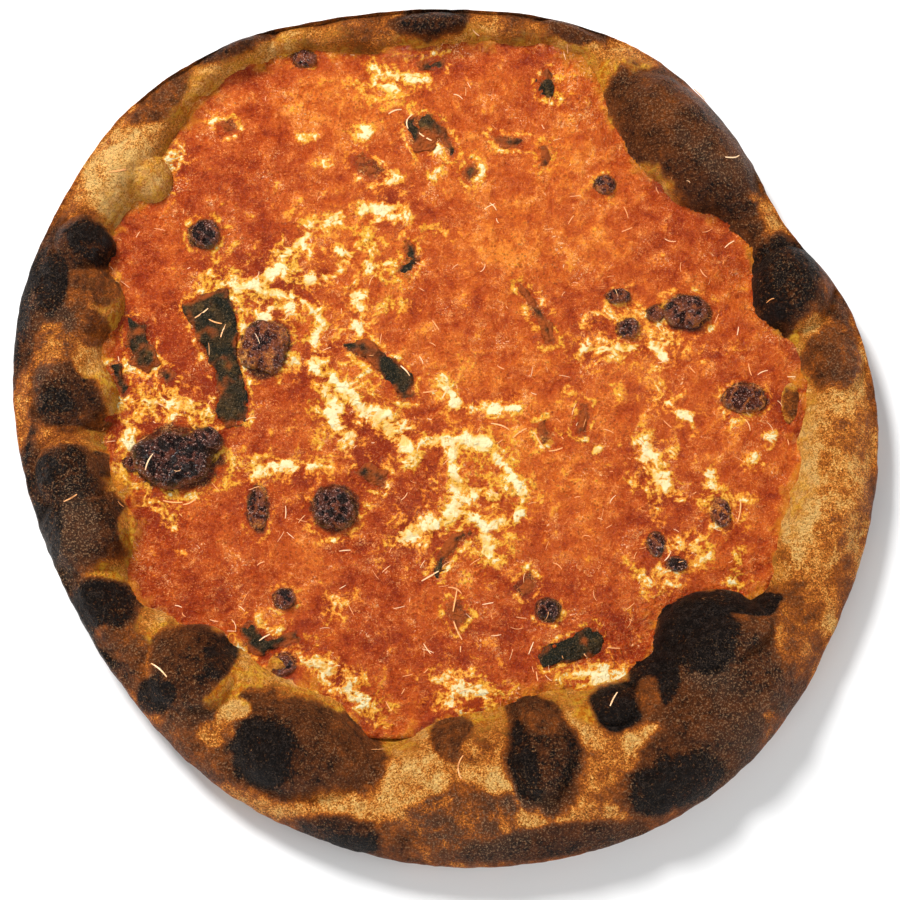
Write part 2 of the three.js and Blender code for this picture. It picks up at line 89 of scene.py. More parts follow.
# a slow unevenness between -1 and 1
def swell(x, y, wave, phase):
    k = 2 * math.pi / wave
    return (0.5 * np.sin(k * (0.83 * x + 0.56 * y) + phase)
            + 0.5 * np.sin(k * (0.71 * y - 0.9 * x) + 1.7 * phase))


# seeded random field between about -1 and 1, in octaves that are turned against each other
def rough(x, y, size, seed, octaves=3):
    total = np.zeros_like(x, dtype=float)
    weight = 1.0
    for octave in range(octaves):
        grid = np.random.default_rng(seed * 17 + octave).uniform(-1, 1, (256, 256))
        turn = 0.7 + 1.1 * octave
        u = (x * math.cos(turn) - y * math.sin(turn)) / size + 91.3
        v = (x * math.sin(turn) + y * math.cos(turn)) / size + 47.9
        iu, iv = np.floor(u).astype(int), np.floor(v).astype(int)
        fu, fv = u - iu, v - iv
        fu, fv = fu * fu * (3 - 2 * fu), fv * fv * (3 - 2 * fv)
        a, b = grid[iu % 256, iv % 256], grid[(iu + 1) % 256, iv % 256]
        c, d = grid[iu % 256, (iv + 1) % 256], grid[(iu + 1) % 256, (iv + 1) % 256]
        total += weight * ((a + (b - a) * fu) * (1 - fv) + (c + (d - c) * fu) * fv)
        weight *= 0.5
        size *= 0.47
    return total


# 0 in the middle of an ellipse and 1 on its edge, with half-lengths for its size
def ellipse(x, y, at, size, turn=0):
    c, s = math.cos(math.radians(turn)), math.sin(math.radians(turn))
    dx, dy = x - at[0], y - at[1]
    return np.hypot((dx * c + dy * s) / size[0], (dy * c - dx * s) / size[1])


def sauceHeight(x, y):
    return form["sauceTop"] + form["sauceSwell"] * swell(x, y, form["sauceWave"], 3)


# distance in millimetres to a broken line
def lineDistance(x, y, path):
    nearest = np.full(x.shape, 1e9)
    for (ax, ay), (bx, by) in zip(path[:-1], path[1:]):
        dx, dy = bx - ax, by - ay
        t = np.clip(((x - ax) * dx + (y - ay) * dy) / (dx * dx + dy * dy), 0, 1)
        nearest = np.minimum(nearest, np.hypot(x - ax - t * dx, y - ay - t * dy))
    return nearest


# positive inside a closed outline, in millimetres from it
def insideDepth(x, y, outline):
    inside = np.zeros(x.shape, bool)
    for (ax, ay), (bx, by) in zip(outline, outline[1:] + outline[:1]):
        if ay != by:
            inside ^= ((ay > y) != (by > y)) & (x < (bx - ax) * (y - ay) / (by - ay) + ax)
    distance = lineDistance(x, y, outline + outline[:1])
    return np.where(inside, distance, -distance)


def readPoints(piece):
    flat = np.empty(len(piece.data.vertices) * 3)
    piece.data.vertices.foreach_get("co", flat)
    return flat.reshape(-1, 3)


def writePoints(piece, points):
    piece.data.vertices.foreach_set("co", np.ascontiguousarray(points, float).ravel())
    piece.data.update()


def paint(piece, name, values):
    layer = piece.data.attributes.new(name, "FLOAT", "POINT")
    layer.data.foreach_set("value", np.ascontiguousarray(np.clip(values, 0, 1), dtype=np.float32))


def deselectAll():
    bpy.ops.object.select_all(action="DESELECT")


def addGrid(name, columns, rows):
    deselectAll()
    bpy.ops.mesh.primitive_grid_add(x_subdivisions=columns, y_subdivisions=rows, size=1)
    piece = bpy.context.active_object
    piece.name = name
    piece.data.name = name
    return piece


def readSelected(piece):
    selected = np.empty(len(piece.data.vertices), bool)
    piece.data.vertices.foreach_get("select", selected)
    return selected


# in edit mode, selects the open edge of the active piece and nothing else
def selectOpenEdge():
    bpy.ops.mesh.select_all(action="DESELECT")
    bpy.ops.mesh.select_non_manifold(extend=False)


# closes the open edges of the active piece and turns its faces outwards
def closeUp():
    bpy.ops.object.mode_set(mode="EDIT")
    bpy.ops.mesh.select_all(action="SELECT")
    bpy.ops.mesh.remove_doubles(threshold=1e-6)
    selectOpenEdge()
    bpy.ops.mesh.fill_holes(sides=0)
    bpy.ops.mesh.select_all(action="SELECT")
    bpy.ops.mesh.normals_make_consistent(inside=False)
    bpy.ops.object.mode_set(mode="OBJECT")


# lower left and upper right corners of a box round some points, with a margin
def boxAround(points, margin):
    xs, ys = zip(*points)
    return (min(xs) - margin, min(ys) - margin), (max(xs) + margin, max(ys) + margin)


# a flat grid cut to where depth(x, y) is positive, with its edge selected
def cutGrid(name, box, spacing, depth):
    (x0, y0), (x1, y1) = box
    columns, rows = math.ceil((x1 - x0) / spacing), math.ceil((y1 - y0) / spacing)
    piece = addGrid(name, columns, rows)
    points = readPoints(piece)
    ix = np.rint((points[:, 0] + 0.5) / np.ptp(points[:, 0]) * columns).astype(int)
    iy = np.rint((points[:, 1] + 0.5) / np.ptp(points[:, 1]) * rows).astype(int)
    x, y = x0 + ix * spacing, y0 + iy * spacing
    field = depth(x, y)
    kept = np.zeros((columns + 1, rows + 1), bool)
    kept[ix, iy] = field > 0
    quads = kept[:-1, :-1] & kept[1:, :-1] & kept[:-1, 1:] & kept[1:, 1:]
    for _ in range(6):  # no two squares may touch at a corner alone
        a, b, c, d = quads[:-1, :-1], quads[1:, :-1], quads[:-1, 1:], quads[1:, 1:]
        bad = (a & d & ~b & ~c) | (b & c & ~a & ~d)
        if not bad.any():
            break
        for part in (a, b, c, d):
            part &= ~bad
    writePoints(piece, np.column_stack([x, y, np.zeros(len(x))]) * mm)
    centres = np.empty(len(piece.data.polygons) * 3)
    piece.data.polygons.foreach_get("center", centres)
    centres = centres.reshape(-1, 3) / mm
    fx = np.clip(((centres[:, 0] - x0) / spacing).astype(int), 0, columns - 1)
    fy = np.clip(((centres[:, 1] - y0) / spacing).astype(int), 0, rows - 1)
    piece.data.polygons.foreach_set("select", ~quads[fx, fy])
    bpy.context.tool_settings.mesh_select_mode = (False, False, True)
    bpy.ops.object.mode_set(mode="EDIT")
    bpy.ops.mesh.delete(type="FACE")
    bpy.ops.mesh.select_all(action="SELECT")
    bpy.ops.mesh.delete_loose()
    bpy.context.tool_settings.mesh_select_mode = (True, False, False)
    selectOpenEdge()
    bpy.ops.object.mode_set(mode="OBJECT")
    return piece


# moves the points of a cut edge on to the line of depth 0, in short steps down the slope of depth
def drawEdge(x, y, spacing, depth):
    probe, damping, longest = 0.2, 0.6, 0.35 * spacing
    for _ in range(3):
        here = depth(x, y)
        gx = (depth(x + probe, y) - here) / probe
        gy = (depth(x, y + probe) - here) / probe
        step = np.clip(here, -1, 1) / np.maximum(gx * gx + gy * gy, 0.4) * damping
        reach = np.clip(np.hypot(gx, gy) * np.abs(step), 1e-9, None)
        step *= np.minimum(1, longest / reach)
        x, y = x - gx * step, y - gy * step
    return x, y


# gives the active piece an underside parallel to its top
def thicken(piece, thickness):
    count = len(piece.data.vertices)
    solid = piece.modifiers.new("solid", "SOLIDIFY")
    solid.thickness = thickness * mm
    solid.offset = -1
    bpy.ops.object.modifier_apply(modifier=solid.name)
    points = readPoints(piece) / mm
    points[count:, 0:2] = points[:count, 0:2]
    points[count:, 2] = points[:count, 2] - thickness
    writePoints(piece, points * mm)


# gives the active piece straight sides and a flat underside at a height
def closeFlat(piece, under):
    bpy.ops.object.mode_set(mode="EDIT")
    selectOpenEdge()
    bpy.ops.mesh.extrude_region_move()
    bpy.ops.object.mode_set(mode="OBJECT")
    points = readPoints(piece) / mm
    points[readSelected(piece), 2] = under
    writePoints(piece, points * mm)
    closeUp()


# a layer of sauce, cheese or leaf: it lies where depth(x, y) is positive and reaches up to top(x, y)
def layer(name, box, spacing, depth, top, under=None, thickness=None):
    piece = cutGrid(name, box, spacing, depth)
    points, rim = readPoints(piece) / mm, readSelected(piece)
    points[rim, 0], points[rim, 1] = drawEdge(points[rim, 0], points[rim, 1], spacing, depth)
    points[:, 2] = top(points[:, 0], points[:, 1])
    writePoints(piece, points * mm)
    if thickness is None:
        closeFlat(piece, under)
    else:
        thicken(piece, thickness)
    bpy.ops.object.shade_smooth()
    return piece


def finishPiece(piece, nodes, material):
    piece.data.materials.clear()
    piece.data.materials.append(material)
    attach(piece, "root")
    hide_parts(*nodes)


# a number or a colour is set on a socket, the output of another node is linked to it
def feed(tree, socket, value):
    if isinstance(value, tuple):
        socket.default_value = (*value, 1)
    elif isinstance(value, (int, float)):
        socket.default_value = value
    else:
        tree.links.new(value, socket)


def addNode(tree, kind, inputs, **settings):
    node = tree.nodes.new("ShaderNode" + kind)
    for label, value in settings.items():
        setattr(node, label, value)
    for label, value in inputs.items():
        feed(tree, node.inputs[label], value)
    return node.outputs


def noiseNode(tree, vector, scale, detail=3, roughness=0.55, distortion=0.0):
    return addNode(tree, "TexNoise", {"Vector": vector, "Scale": scale, "Detail": detail,
                                      "Roughness": roughness, "Distortion": distortion})["Fac"]


def mathNode(tree, operation, *values, clamp=False):
    return addNode(tree, "Math", dict(enumerate(values)), operation=operation, use_clamp=clamp)[0]


def timesNode(tree, first, *others):
    for other in others:
        first = mathNode(tree, "MULTIPLY", first, other)
    return first


# adds up values, each with its weight
def totalNode(tree, *parts, start=0.0):
    for value, weight in parts:
        start = mathNode(tree, "MULTIPLY_ADD", value, weight, start)
    return start


# moves a value up and down by noises between 0 and 1, each with its strength
def swingNode(tree, value, *noises):
    middle = mathNode(tree, "ADD", value, -0.5 * sum(strength for noise, strength in noises))
    return totalNode(tree, *noises, start=middle)


def rangeNode(tree, value, low, high, toLow=0.0, toHigh=1.0):
    inputs = {"Value": value, "From Min": low, "From Max": high, "To Min": toLow, "To Max": toHigh}
    return addNode(tree, "MapRange", inputs, interpolation_type="SMOOTHSTEP")["Result"]


# thin winding lines where a noise passes its middle value
def ridgeNode(tree, noise, low, high):
    off = mathNode(tree, "ABSOLUTE", mathNode(tree, "SUBTRACT", noise, 0.5))
    return rangeNode(tree, off, low, high)


def mixNode(tree, factor, a, b):
    return addNode(tree, "Mix", {0: factor, 6: a, 7: b}, data_type="RGBA")[2]


# lays tints over a colour in turn, each where its mask is bright
def layTints(tree, colour, *tints):
    for mask, tint in tints:
        colour = mixNode(tree, mask, colour, tint)
    return colour


def scaleNode(tree, vector, amount):
    return addNode(tree, "VectorMath", {0: vector, "Scale": amount}, operation="SCALE")[0]


def rampNode(tree, value, stops):
    node = tree.nodes.new("ShaderNodeValToRGB")
    ramp = node.color_ramp
    while len(ramp.elements) < len(stops):
        ramp.elements.new(0.5)
    for element, (place, colour) in zip(ramp.elements, stops):
        element.position = place
        element.color = (*colour, 1)
    feed(tree, node.inputs["Fac"], value)
    return node.outputs["Color"]


def attributeNode(tree, name):
    return addNode(tree, "Attribute", {}, attribute_name=name)["Fac"]


def newGroup(name, inputs, outputs):
    group = bpy.data.node_groups.new(name, "ShaderNodeTree")
    for label, kind, value in inputs:
        socket = group.interface.new_socket(name=label, in_out="INPUT", socket_type="NodeSocket" + kind)
        socket.default_value = value
    for label, kind in outputs:
        group.interface.new_socket(name=label, in_out="OUTPUT", socket_type="NodeSocket" + kind)
    return group, group.nodes.new("NodeGroupInput").outputs, group.nodes.new("NodeGroupOutput").inputs


def placeGroup(tree, group, place, **values):
    node = tree.nodes.new("ShaderNodeGroup")
    node.node_tree = group
    for label, value in {"Place": place, **values}.items():
        feed(tree, node.inputs[label], value)
    return node.outputs


def startMaterial(name):
    material = bpy.data.materials.new(name)
    material.use_nodes = True
    return material, material.node_tree, addNode(material.node_tree, "TexCoord", {})["Object"]


# relief is the depth of the bumps in metres
def finishMaterial(material, colour, dull, shine, height=None, relief=0.0):
    tree = material.node_tree
    shader = tree.nodes["Principled BSDF"].inputs
    feed(tree, shader["Base Color"], colour)
    feed(tree, shader["Roughness"], dull)
    feed(tree, shader["Specular IOR Level"], shine)
    if height is not None:
        bump = addNode(tree, "Bump", {"Strength": 0.9, "Distance": relief, "Height": height})
        feed(tree, shader["Normal"], bump["Normal"])
    return material


grainScales = {"mottle": 190, "grain": 900, "specks": 620, "grit": 2600}  # cells in a metre


# fine grain of baked and cooked surfaces: specks, mottling and a height for bumps
def makeGrainGroup():
    group, into, out = newGroup(
        "bakedGrain",
        [("Place", "Vector", (0, 0, 0)), ("Size", "Float", 1.0)],
        [(label, "Float") for label in ("Mottle", "Grain", "Specks", "Grit", "Height")],
    )
    vector = scaleNode(group, into["Place"], into["Size"])
    mottle = noiseNode(group, vector, grainScales["mottle"], 4, 0.6, 0.4)
    grain = noiseNode(group, vector, grainScales["grain"], 3, 0.65)
    cells = addNode(group, "TexVoronoi", {"Vector": vector, "Scale": grainScales["specks"], "Randomness": 1})
    results = {
        "Mottle": mottle, "Grain": grain, "Specks": rangeNode(group, cells["Distance"], 0.34, 0.12),
        "Grit": noiseNode(group, vector, grainScales["grit"], 2, 0.7),
        "Height": totalNode(group, (mottle, 1.2), (grain, 0.6)),
    }
    for label, value in results.items():
        feed(group, out[label], value)
    return group


bakedGrain = makeGrainGroup()

# the colours of each crust run from pale to black; the sparks are painted highlights on its grain
crustLooks = {
    "bakedCrust": {
        "stops": [
            (0.0, (0.92, 0.54, 0.17)), (0.14, (0.86, 0.39, 0.083)), (0.30, (0.70, 0.215, 0.028)),
            (0.46, (0.38, 0.094, 0.013)), (0.62, (0.19, 0.051, 0.011)), (0.80, (0.082, 0.024, 0.0075)),
            (0.93, (0.006, 0.0036, 0.0028)),
        ],
        "dull": 0.22, "shine": 0.10, "relief": 0.0042, "spark": (0.34, 0.165, 0.068), "sparksFrom": 0.59,
    },
    "blisteredCrust": {
        "stops": [
            (0.0, (0.86, 0.40, 0.090)), (0.30, (0.62, 0.17, 0.028)), (0.46, (0.36, 0.085, 0.024)),
            (0.62, (0.19, 0.042, 0.019)), (0.80, (0.080, 0.018, 0.010)), (0.95, (0.010, 0.0040, 0.0038)),
        ],
        "dull": -0.06, "shine": 0.7, "relief": 0.0056, "spark": (0.85, 0.50, 0.38), "sparksFrom": 0.58,
    },
}
# tints laid over the crust; the wrinkle tint is a painted highlight on the wrinkles of black skin
crustTints = {
    "bloom": (0.080, 0.046, 0.029), "paleSpeck": (0.55, 0.34, 0.19), "wrinkle": (0.085, 0.058, 0.046),
    "oilFilm": ((0.58, 0.165, 0.016), (0.94, 0.43, 0.055)),  # dry and wet
    "oilPool": ((0.72, 0.19, 0.010), (1.0, 0.52, 0.045)),
    "oilSpeck": (0.30, 0.055, 0.010),
}


# blistered dough: baked colour broken up by mottling, painted shade in pits, pale crumbs, oil and painted
# highlights
def makeCrustMaterial(name):
    look = crustLooks[name]
    material, tree, place = startMaterial(name)
    coarse, grain, fine, medium = [placeGroup(tree, bakedGrain, place, Size=size)
                                   for size in (0.3, 1.0, 1.7, 2.2)]
    painted, flour, oily = [attributeNode(tree, label) for label in ("bake", "flour", "oil")]
    mottled = swingNode(tree, 0.0, (coarse["Mottle"], 0.6), (grain["Mottle"], 0.8), (medium["Mottle"], 0.5))
    calm = rangeNode(tree, painted, 0.60, 0.78, 1.0, 0.6)
    bake = swingNode(tree, mathNode(tree, "MULTIPLY_ADD", mottled, calm, painted), (grain["Grain"], 0.7))
    # light and dark grit too small for the mesh: pale crumbs, and painted shade in tiny pits
    grit = swingNode(tree, 0.0, (grain["Grit"], 2.6), (fine["Grain"], 3.2), (grain["Grain"], 2.2))
    bake = mathNode(tree, "MULTIPLY_ADD", grit, rangeNode(tree, bake, 0.55, 0.25, 0.0, -0.33), bake)
    bake = mathNode(tree, "ADD", bake, 0, clamp=True)
    shade = mathNode(tree, "MAXIMUM", mathNode(tree, "MULTIPLY_ADD", grit, 0.62, 1.04), 0.58)
    colour = scaleNode(tree, rampNode(tree, bake, look["stops"]), mathNode(tree, "MINIMUM", shade, 1.4))
    browned = rangeNode(tree, bake, 0.34, 0.62)
    bloom = rangeNode(tree, flour, 0.45, 0.9, 0.0, 0.45)
    paleSpecks = rangeNode(tree, fine["Grain"], 0.55, 0.63)
    # painted highlights on the fine wrinkles of the blackest skin
    wrinkleGlints = ridgeNode(tree, grain["Grain"], 0.026, 0.006)
    wrinkled = rangeNode(tree, medium["Mottle"], 0.40, 0.6, 0.1, 1.0)
    # sparks: painted highlights on the browned grain, kept off the jet black
    sparks = rangeNode(tree, fine["Grain"], look["sparksFrom"], look["sparksFrom"] + 0.06)
    notJet = rangeNode(tree, bake, 0.97, 0.86, 0.12, 1.0)
    # oil lies as a film or in pools
    wet = rangeNode(tree, medium["Mottle"], 0.40, 0.60)
    film, pool = [mixNode(tree, wet, *crustTints[label]) for label in ("oilFilm", "oilPool")]
    gold = mixNode(tree, rangeNode(tree, oily, 0.5, 0.85), film, pool)
    gold = mixNode(tree, timesNode(tree, grain["Specks"], 0.5), gold, crustTints["oilSpeck"])
    oil = timesNode(tree, oily, rangeNode(tree, grain["Mottle"], 0.25, 0.62))
    colour = layTints(
        tree, colour, (timesNode(tree, browned, bloom), crustTints["bloom"]),
        (timesNode(tree, paleSpecks, browned, flour), crustTints["paleSpeck"]),
        (timesNode(tree, wrinkleGlints, rangeNode(tree, bake, 0.90, 0.98), wrinkled), crustTints["wrinkle"]),
        (timesNode(tree, sparks, browned, notJet), look["spark"]), (oil, gold),
    )
    dull = totalNode(tree, (grain["Grain"], 0.4), (oil, -0.25), start=look["dull"])
    height = totalNode(tree, (coarse["Height"], 1), (grain["Height"], 1), (medium["Mottle"], 0.8),
                       (fine["Grain"], 0.7), (grain["Grit"], 0.45))
    return finishMaterial(material, colour, dull, look["shine"], height, look["relief"])


meltLook = {
    "tones": [  # sauce from dark red to orange
        (0.0, (0.25, 0.020, 0.003)), (0.3, (0.41, 0.050, 0.005)), (0.5, (0.52, 0.080, 0.008)),
        (0.7, (0.63, 0.120, 0.011)), (1.0, (0.86, 0.25, 0.025)),
    ],
    # the pale specks, glints and squiggles are painted highlights on the wet sauce
    "fringe": (0.60, 0.185, 0.011), "scorch": (0.055, 0.014, 0.006), "paleSpeck": (1.0, 0.40, 0.10),
    "glint": (1.0, 0.60, 0.32), "darkSpeck": (0.17, 0.015, 0.004), "squiggle": (1.0, 0.50, 0.16),
    "strand": (1.0, 0.42, 0.12), "halo": ((0.90, 0.26, 0.020), (0.86, 0.42, 0.026)),
    "butter": (0.98, 0.50, 0.070), "cream": ((1.0, 0.60, 0.17), (1.0, 0.84, 0.47)),
    "dot": (0.10, 0.016, 0.004), "dull": -0.10, "shine": 0.27, "relief": 0.0026,
}
meltPaint = ("Tone", "Milk", "Scorch", "Fringe")  # painted on sauce and cheese


# colour of sauce and melted cheese: ragged lace of cheese with an orange halo, over grainy sauce
def makeMeltGroup():
    group, into, out = newGroup(
        "sauceAndCheese",
        [("Place", "Vector", (0, 0, 0))] + [(label, "Float", 0.5) for label in meltPaint],
        [("Colour", "Color"), ("Dull", "Float"), ("Height", "Float")],
    )
    place = into["Place"]
    coarse, medium, grain, finest, fine = [placeGroup(group, bakedGrain, place, Size=size)
                                           for size in (0.28, 0.62, 1.0, 1.35, 1.9)]
    tone = swingNode(group, into["Tone"], (coarse["Mottle"], 1.2), (medium["Mottle"], 1.2),
                     (grain["Mottle"], 1.1), (grain["Grain"], 0.9), (fine["Grain"], 0.6),
                     (grain["Grit"], 0.4))
    fringe = swingNode(group, into["Fringe"], (grain["Mottle"], 1.6), (coarse["Mottle"], 2.0))
    scorch = swingNode(group, into["Scorch"], (grain["Mottle"], 0.8), (grain["Grain"], 0.5))
    # small pale specks in drifts and fine glints, both painted highlights, dark specks, short squiggles of
    # painted wet highlight and fine strands
    drift = rangeNode(group, medium["Mottle"], 0.36, 0.6, 0.25, 1.0)
    paleSpecks = rangeNode(group, fine["Grain"], 0.575, 0.65)
    glints = rangeNode(group, finest["Grain"], 0.575, 0.65)
    glinting = rangeNode(group, medium["Mottle"], 0.55, 0.65, 0.03, 0.9)
    squiggles = timesNode(group, ridgeNode(group, grain["Grain"], 0.032, 0.010),
                          rangeNode(group, fine["Mottle"], 0.52, 0.60),
                          rangeNode(group, medium["Mottle"], 0.48, 0.60, 0.03, 0.8))
    strands = timesNode(group, ridgeNode(group, noiseNode(group, place, 260, 2, 0.5, 1.6), 0.014, 0.004),
                        rangeNode(group, grain["Mottle"], 0.46, 0.6, 0, 0.5))
    # creases of a warped noise give the lace
    creases = ridgeNode(group, noiseNode(group, place, 150, 4, 0.6, 0.7), 0.12, 0.0)
    lace = swingNode(group, into["Milk"], (creases, 0.32), (medium["Mottle"], 1.0), (grain["Mottle"], 1.4),
                     (grain["Grain"], 0.8))
    cream = rangeNode(group, lace, 0.655, 0.745)
    dots = timesNode(group, grain["Specks"], rangeNode(group, coarse["Mottle"], 0.48, 0.6),
                     mathNode(group, "MULTIPLY_ADD", cream, -0.5, 0.5))
    colour = layTints(
        group, rampNode(group, mathNode(group, "ADD", tone, 0, clamp=True), meltLook["tones"]),
        (rangeNode(group, fringe, 0.45, 0.95), meltLook["fringe"]),
        (rangeNode(group, scorch, 0.38, 0.85), meltLook["scorch"]),
        (timesNode(group, paleSpecks, drift, 0.6), meltLook["paleSpeck"]),
        (timesNode(group, glints, glinting), meltLook["glint"]),
        # dark specks, where the finest grit is low
        (timesNode(group, rangeNode(group, grain["Grit"], 0.38, 0.29), 0.7), meltLook["darkSpeck"]),
        (squiggles, meltLook["squiggle"]), (strands, meltLook["strand"]),
        (rangeNode(group, lace, 0.32, 0.56, 0, 0.85),
         mixNode(group, rangeNode(group, coarse["Mottle"], 0.4, 0.62), *meltLook["halo"])),
        (rangeNode(group, lace, 0.50, 0.64, 0, 0.9), meltLook["butter"]),
        (cream, mixNode(group, rangeNode(group, grain["Mottle"], 0.40, 0.6), *meltLook["cream"])),
        (dots, meltLook["dot"]),
    )
    results = {
        "Colour": colour, "Dull": mathNode(group, "MULTIPLY_ADD", grain["Grain"], 0.5, meltLook["dull"]),
        "Height": totalNode(group, (grain["Height"], 0.9), (coarse["Height"], 1), (fine["Grain"], 0.45),
                            (cream, 0.08), (grain["Grit"], 0.15)),
    }
    for label, value in results.items():
        feed(group, out[label], value)
    return group


sauceAndCheese = makeMeltGroup()


def makeMeltMaterial(name):
    material, tree, place = startMaterial(name)
    painted = {label: attributeNode(tree, label.lower()) for label in meltPaint}
    mixed = placeGroup(tree, sauceAndCheese, place, **painted)
    return finishMaterial(material, mixed["Colour"], mixed["Dull"], meltLook["shine"],
                          mixed["Height"], meltLook["relief"])


def makeGratedMaterial():
    material, tree, place = startMaterial("gratedHardCheese")
    grain = placeGroup(tree, bakedGrain, place)
    tint = swingNode(tree, attributeNode(tree, "melt"), (grain["Mottle"], 0.6))
    colour = mixNode(tree, rangeNode(tree, tint, 0.2, 0.9), (0.86, 0.36, 0.12), (0.98, 0.70, 0.42))
    return finishMaterial(material, colour, 0.4, 0.34)


def makeLeafMaterial():
    material, tree, place = startMaterial("wiltedBasil")
    coarse, grain = [placeGroup(tree, bakedGrain, place, Size=size) for size in (0.5, 1.0)]
    stain = swingNode(tree, attributeNode(tree, "stain"), (coarse["Mottle"], 1.1))
    colour = layTints(
        tree, (0.008, 0.009, 0.004),  # dark green, then brown patches, lighter ones, pits, and pale grit that is painted glints
        (rangeNode(tree, coarse["Mottle"], 0.35, 0.7), (0.055, 0.028, 0.008)),
        (rangeNode(tree, grain["Mottle"], 0.54, 0.68), (0.095, 0.050, 0.013)),
        (rangeNode(tree, grain["Grain"], 0.46, 0.34), (0.006, 0.007, 0.003)),
        # pale grit: painted glints on the wet leaf
        (rangeNode(tree, grain["Grit"], 0.59, 0.66, 0, 0.7), (0.27, 0.17, 0.08)),
        (rangeNode(tree, stain, 0.22, 0.66, 0, 0.9), (0.36, 0.070, 0.009)),  # sauce on the leaf
    )
    dull = mathNode(tree, "MULTIPLY_ADD", grain["Grain"], 0.6, 0.12)
    height = totalNode(tree, (grain["Height"], 1), (coarse["Height"], 1))
    return finishMaterial(material, colour, dull, 0.16, height, 0.003)


crustMaterial, blisterMaterial = [makeCrustMaterial(name) for name in crustLooks]
sauceMaterial, cheeseMaterial = [makeMeltMaterial(name) for name in ("vodkaSauce", "meltedMozzarella")]
gratedMaterial = makeGratedMaterial()
leafMaterial = makeLeafMaterial()
print("materials made")

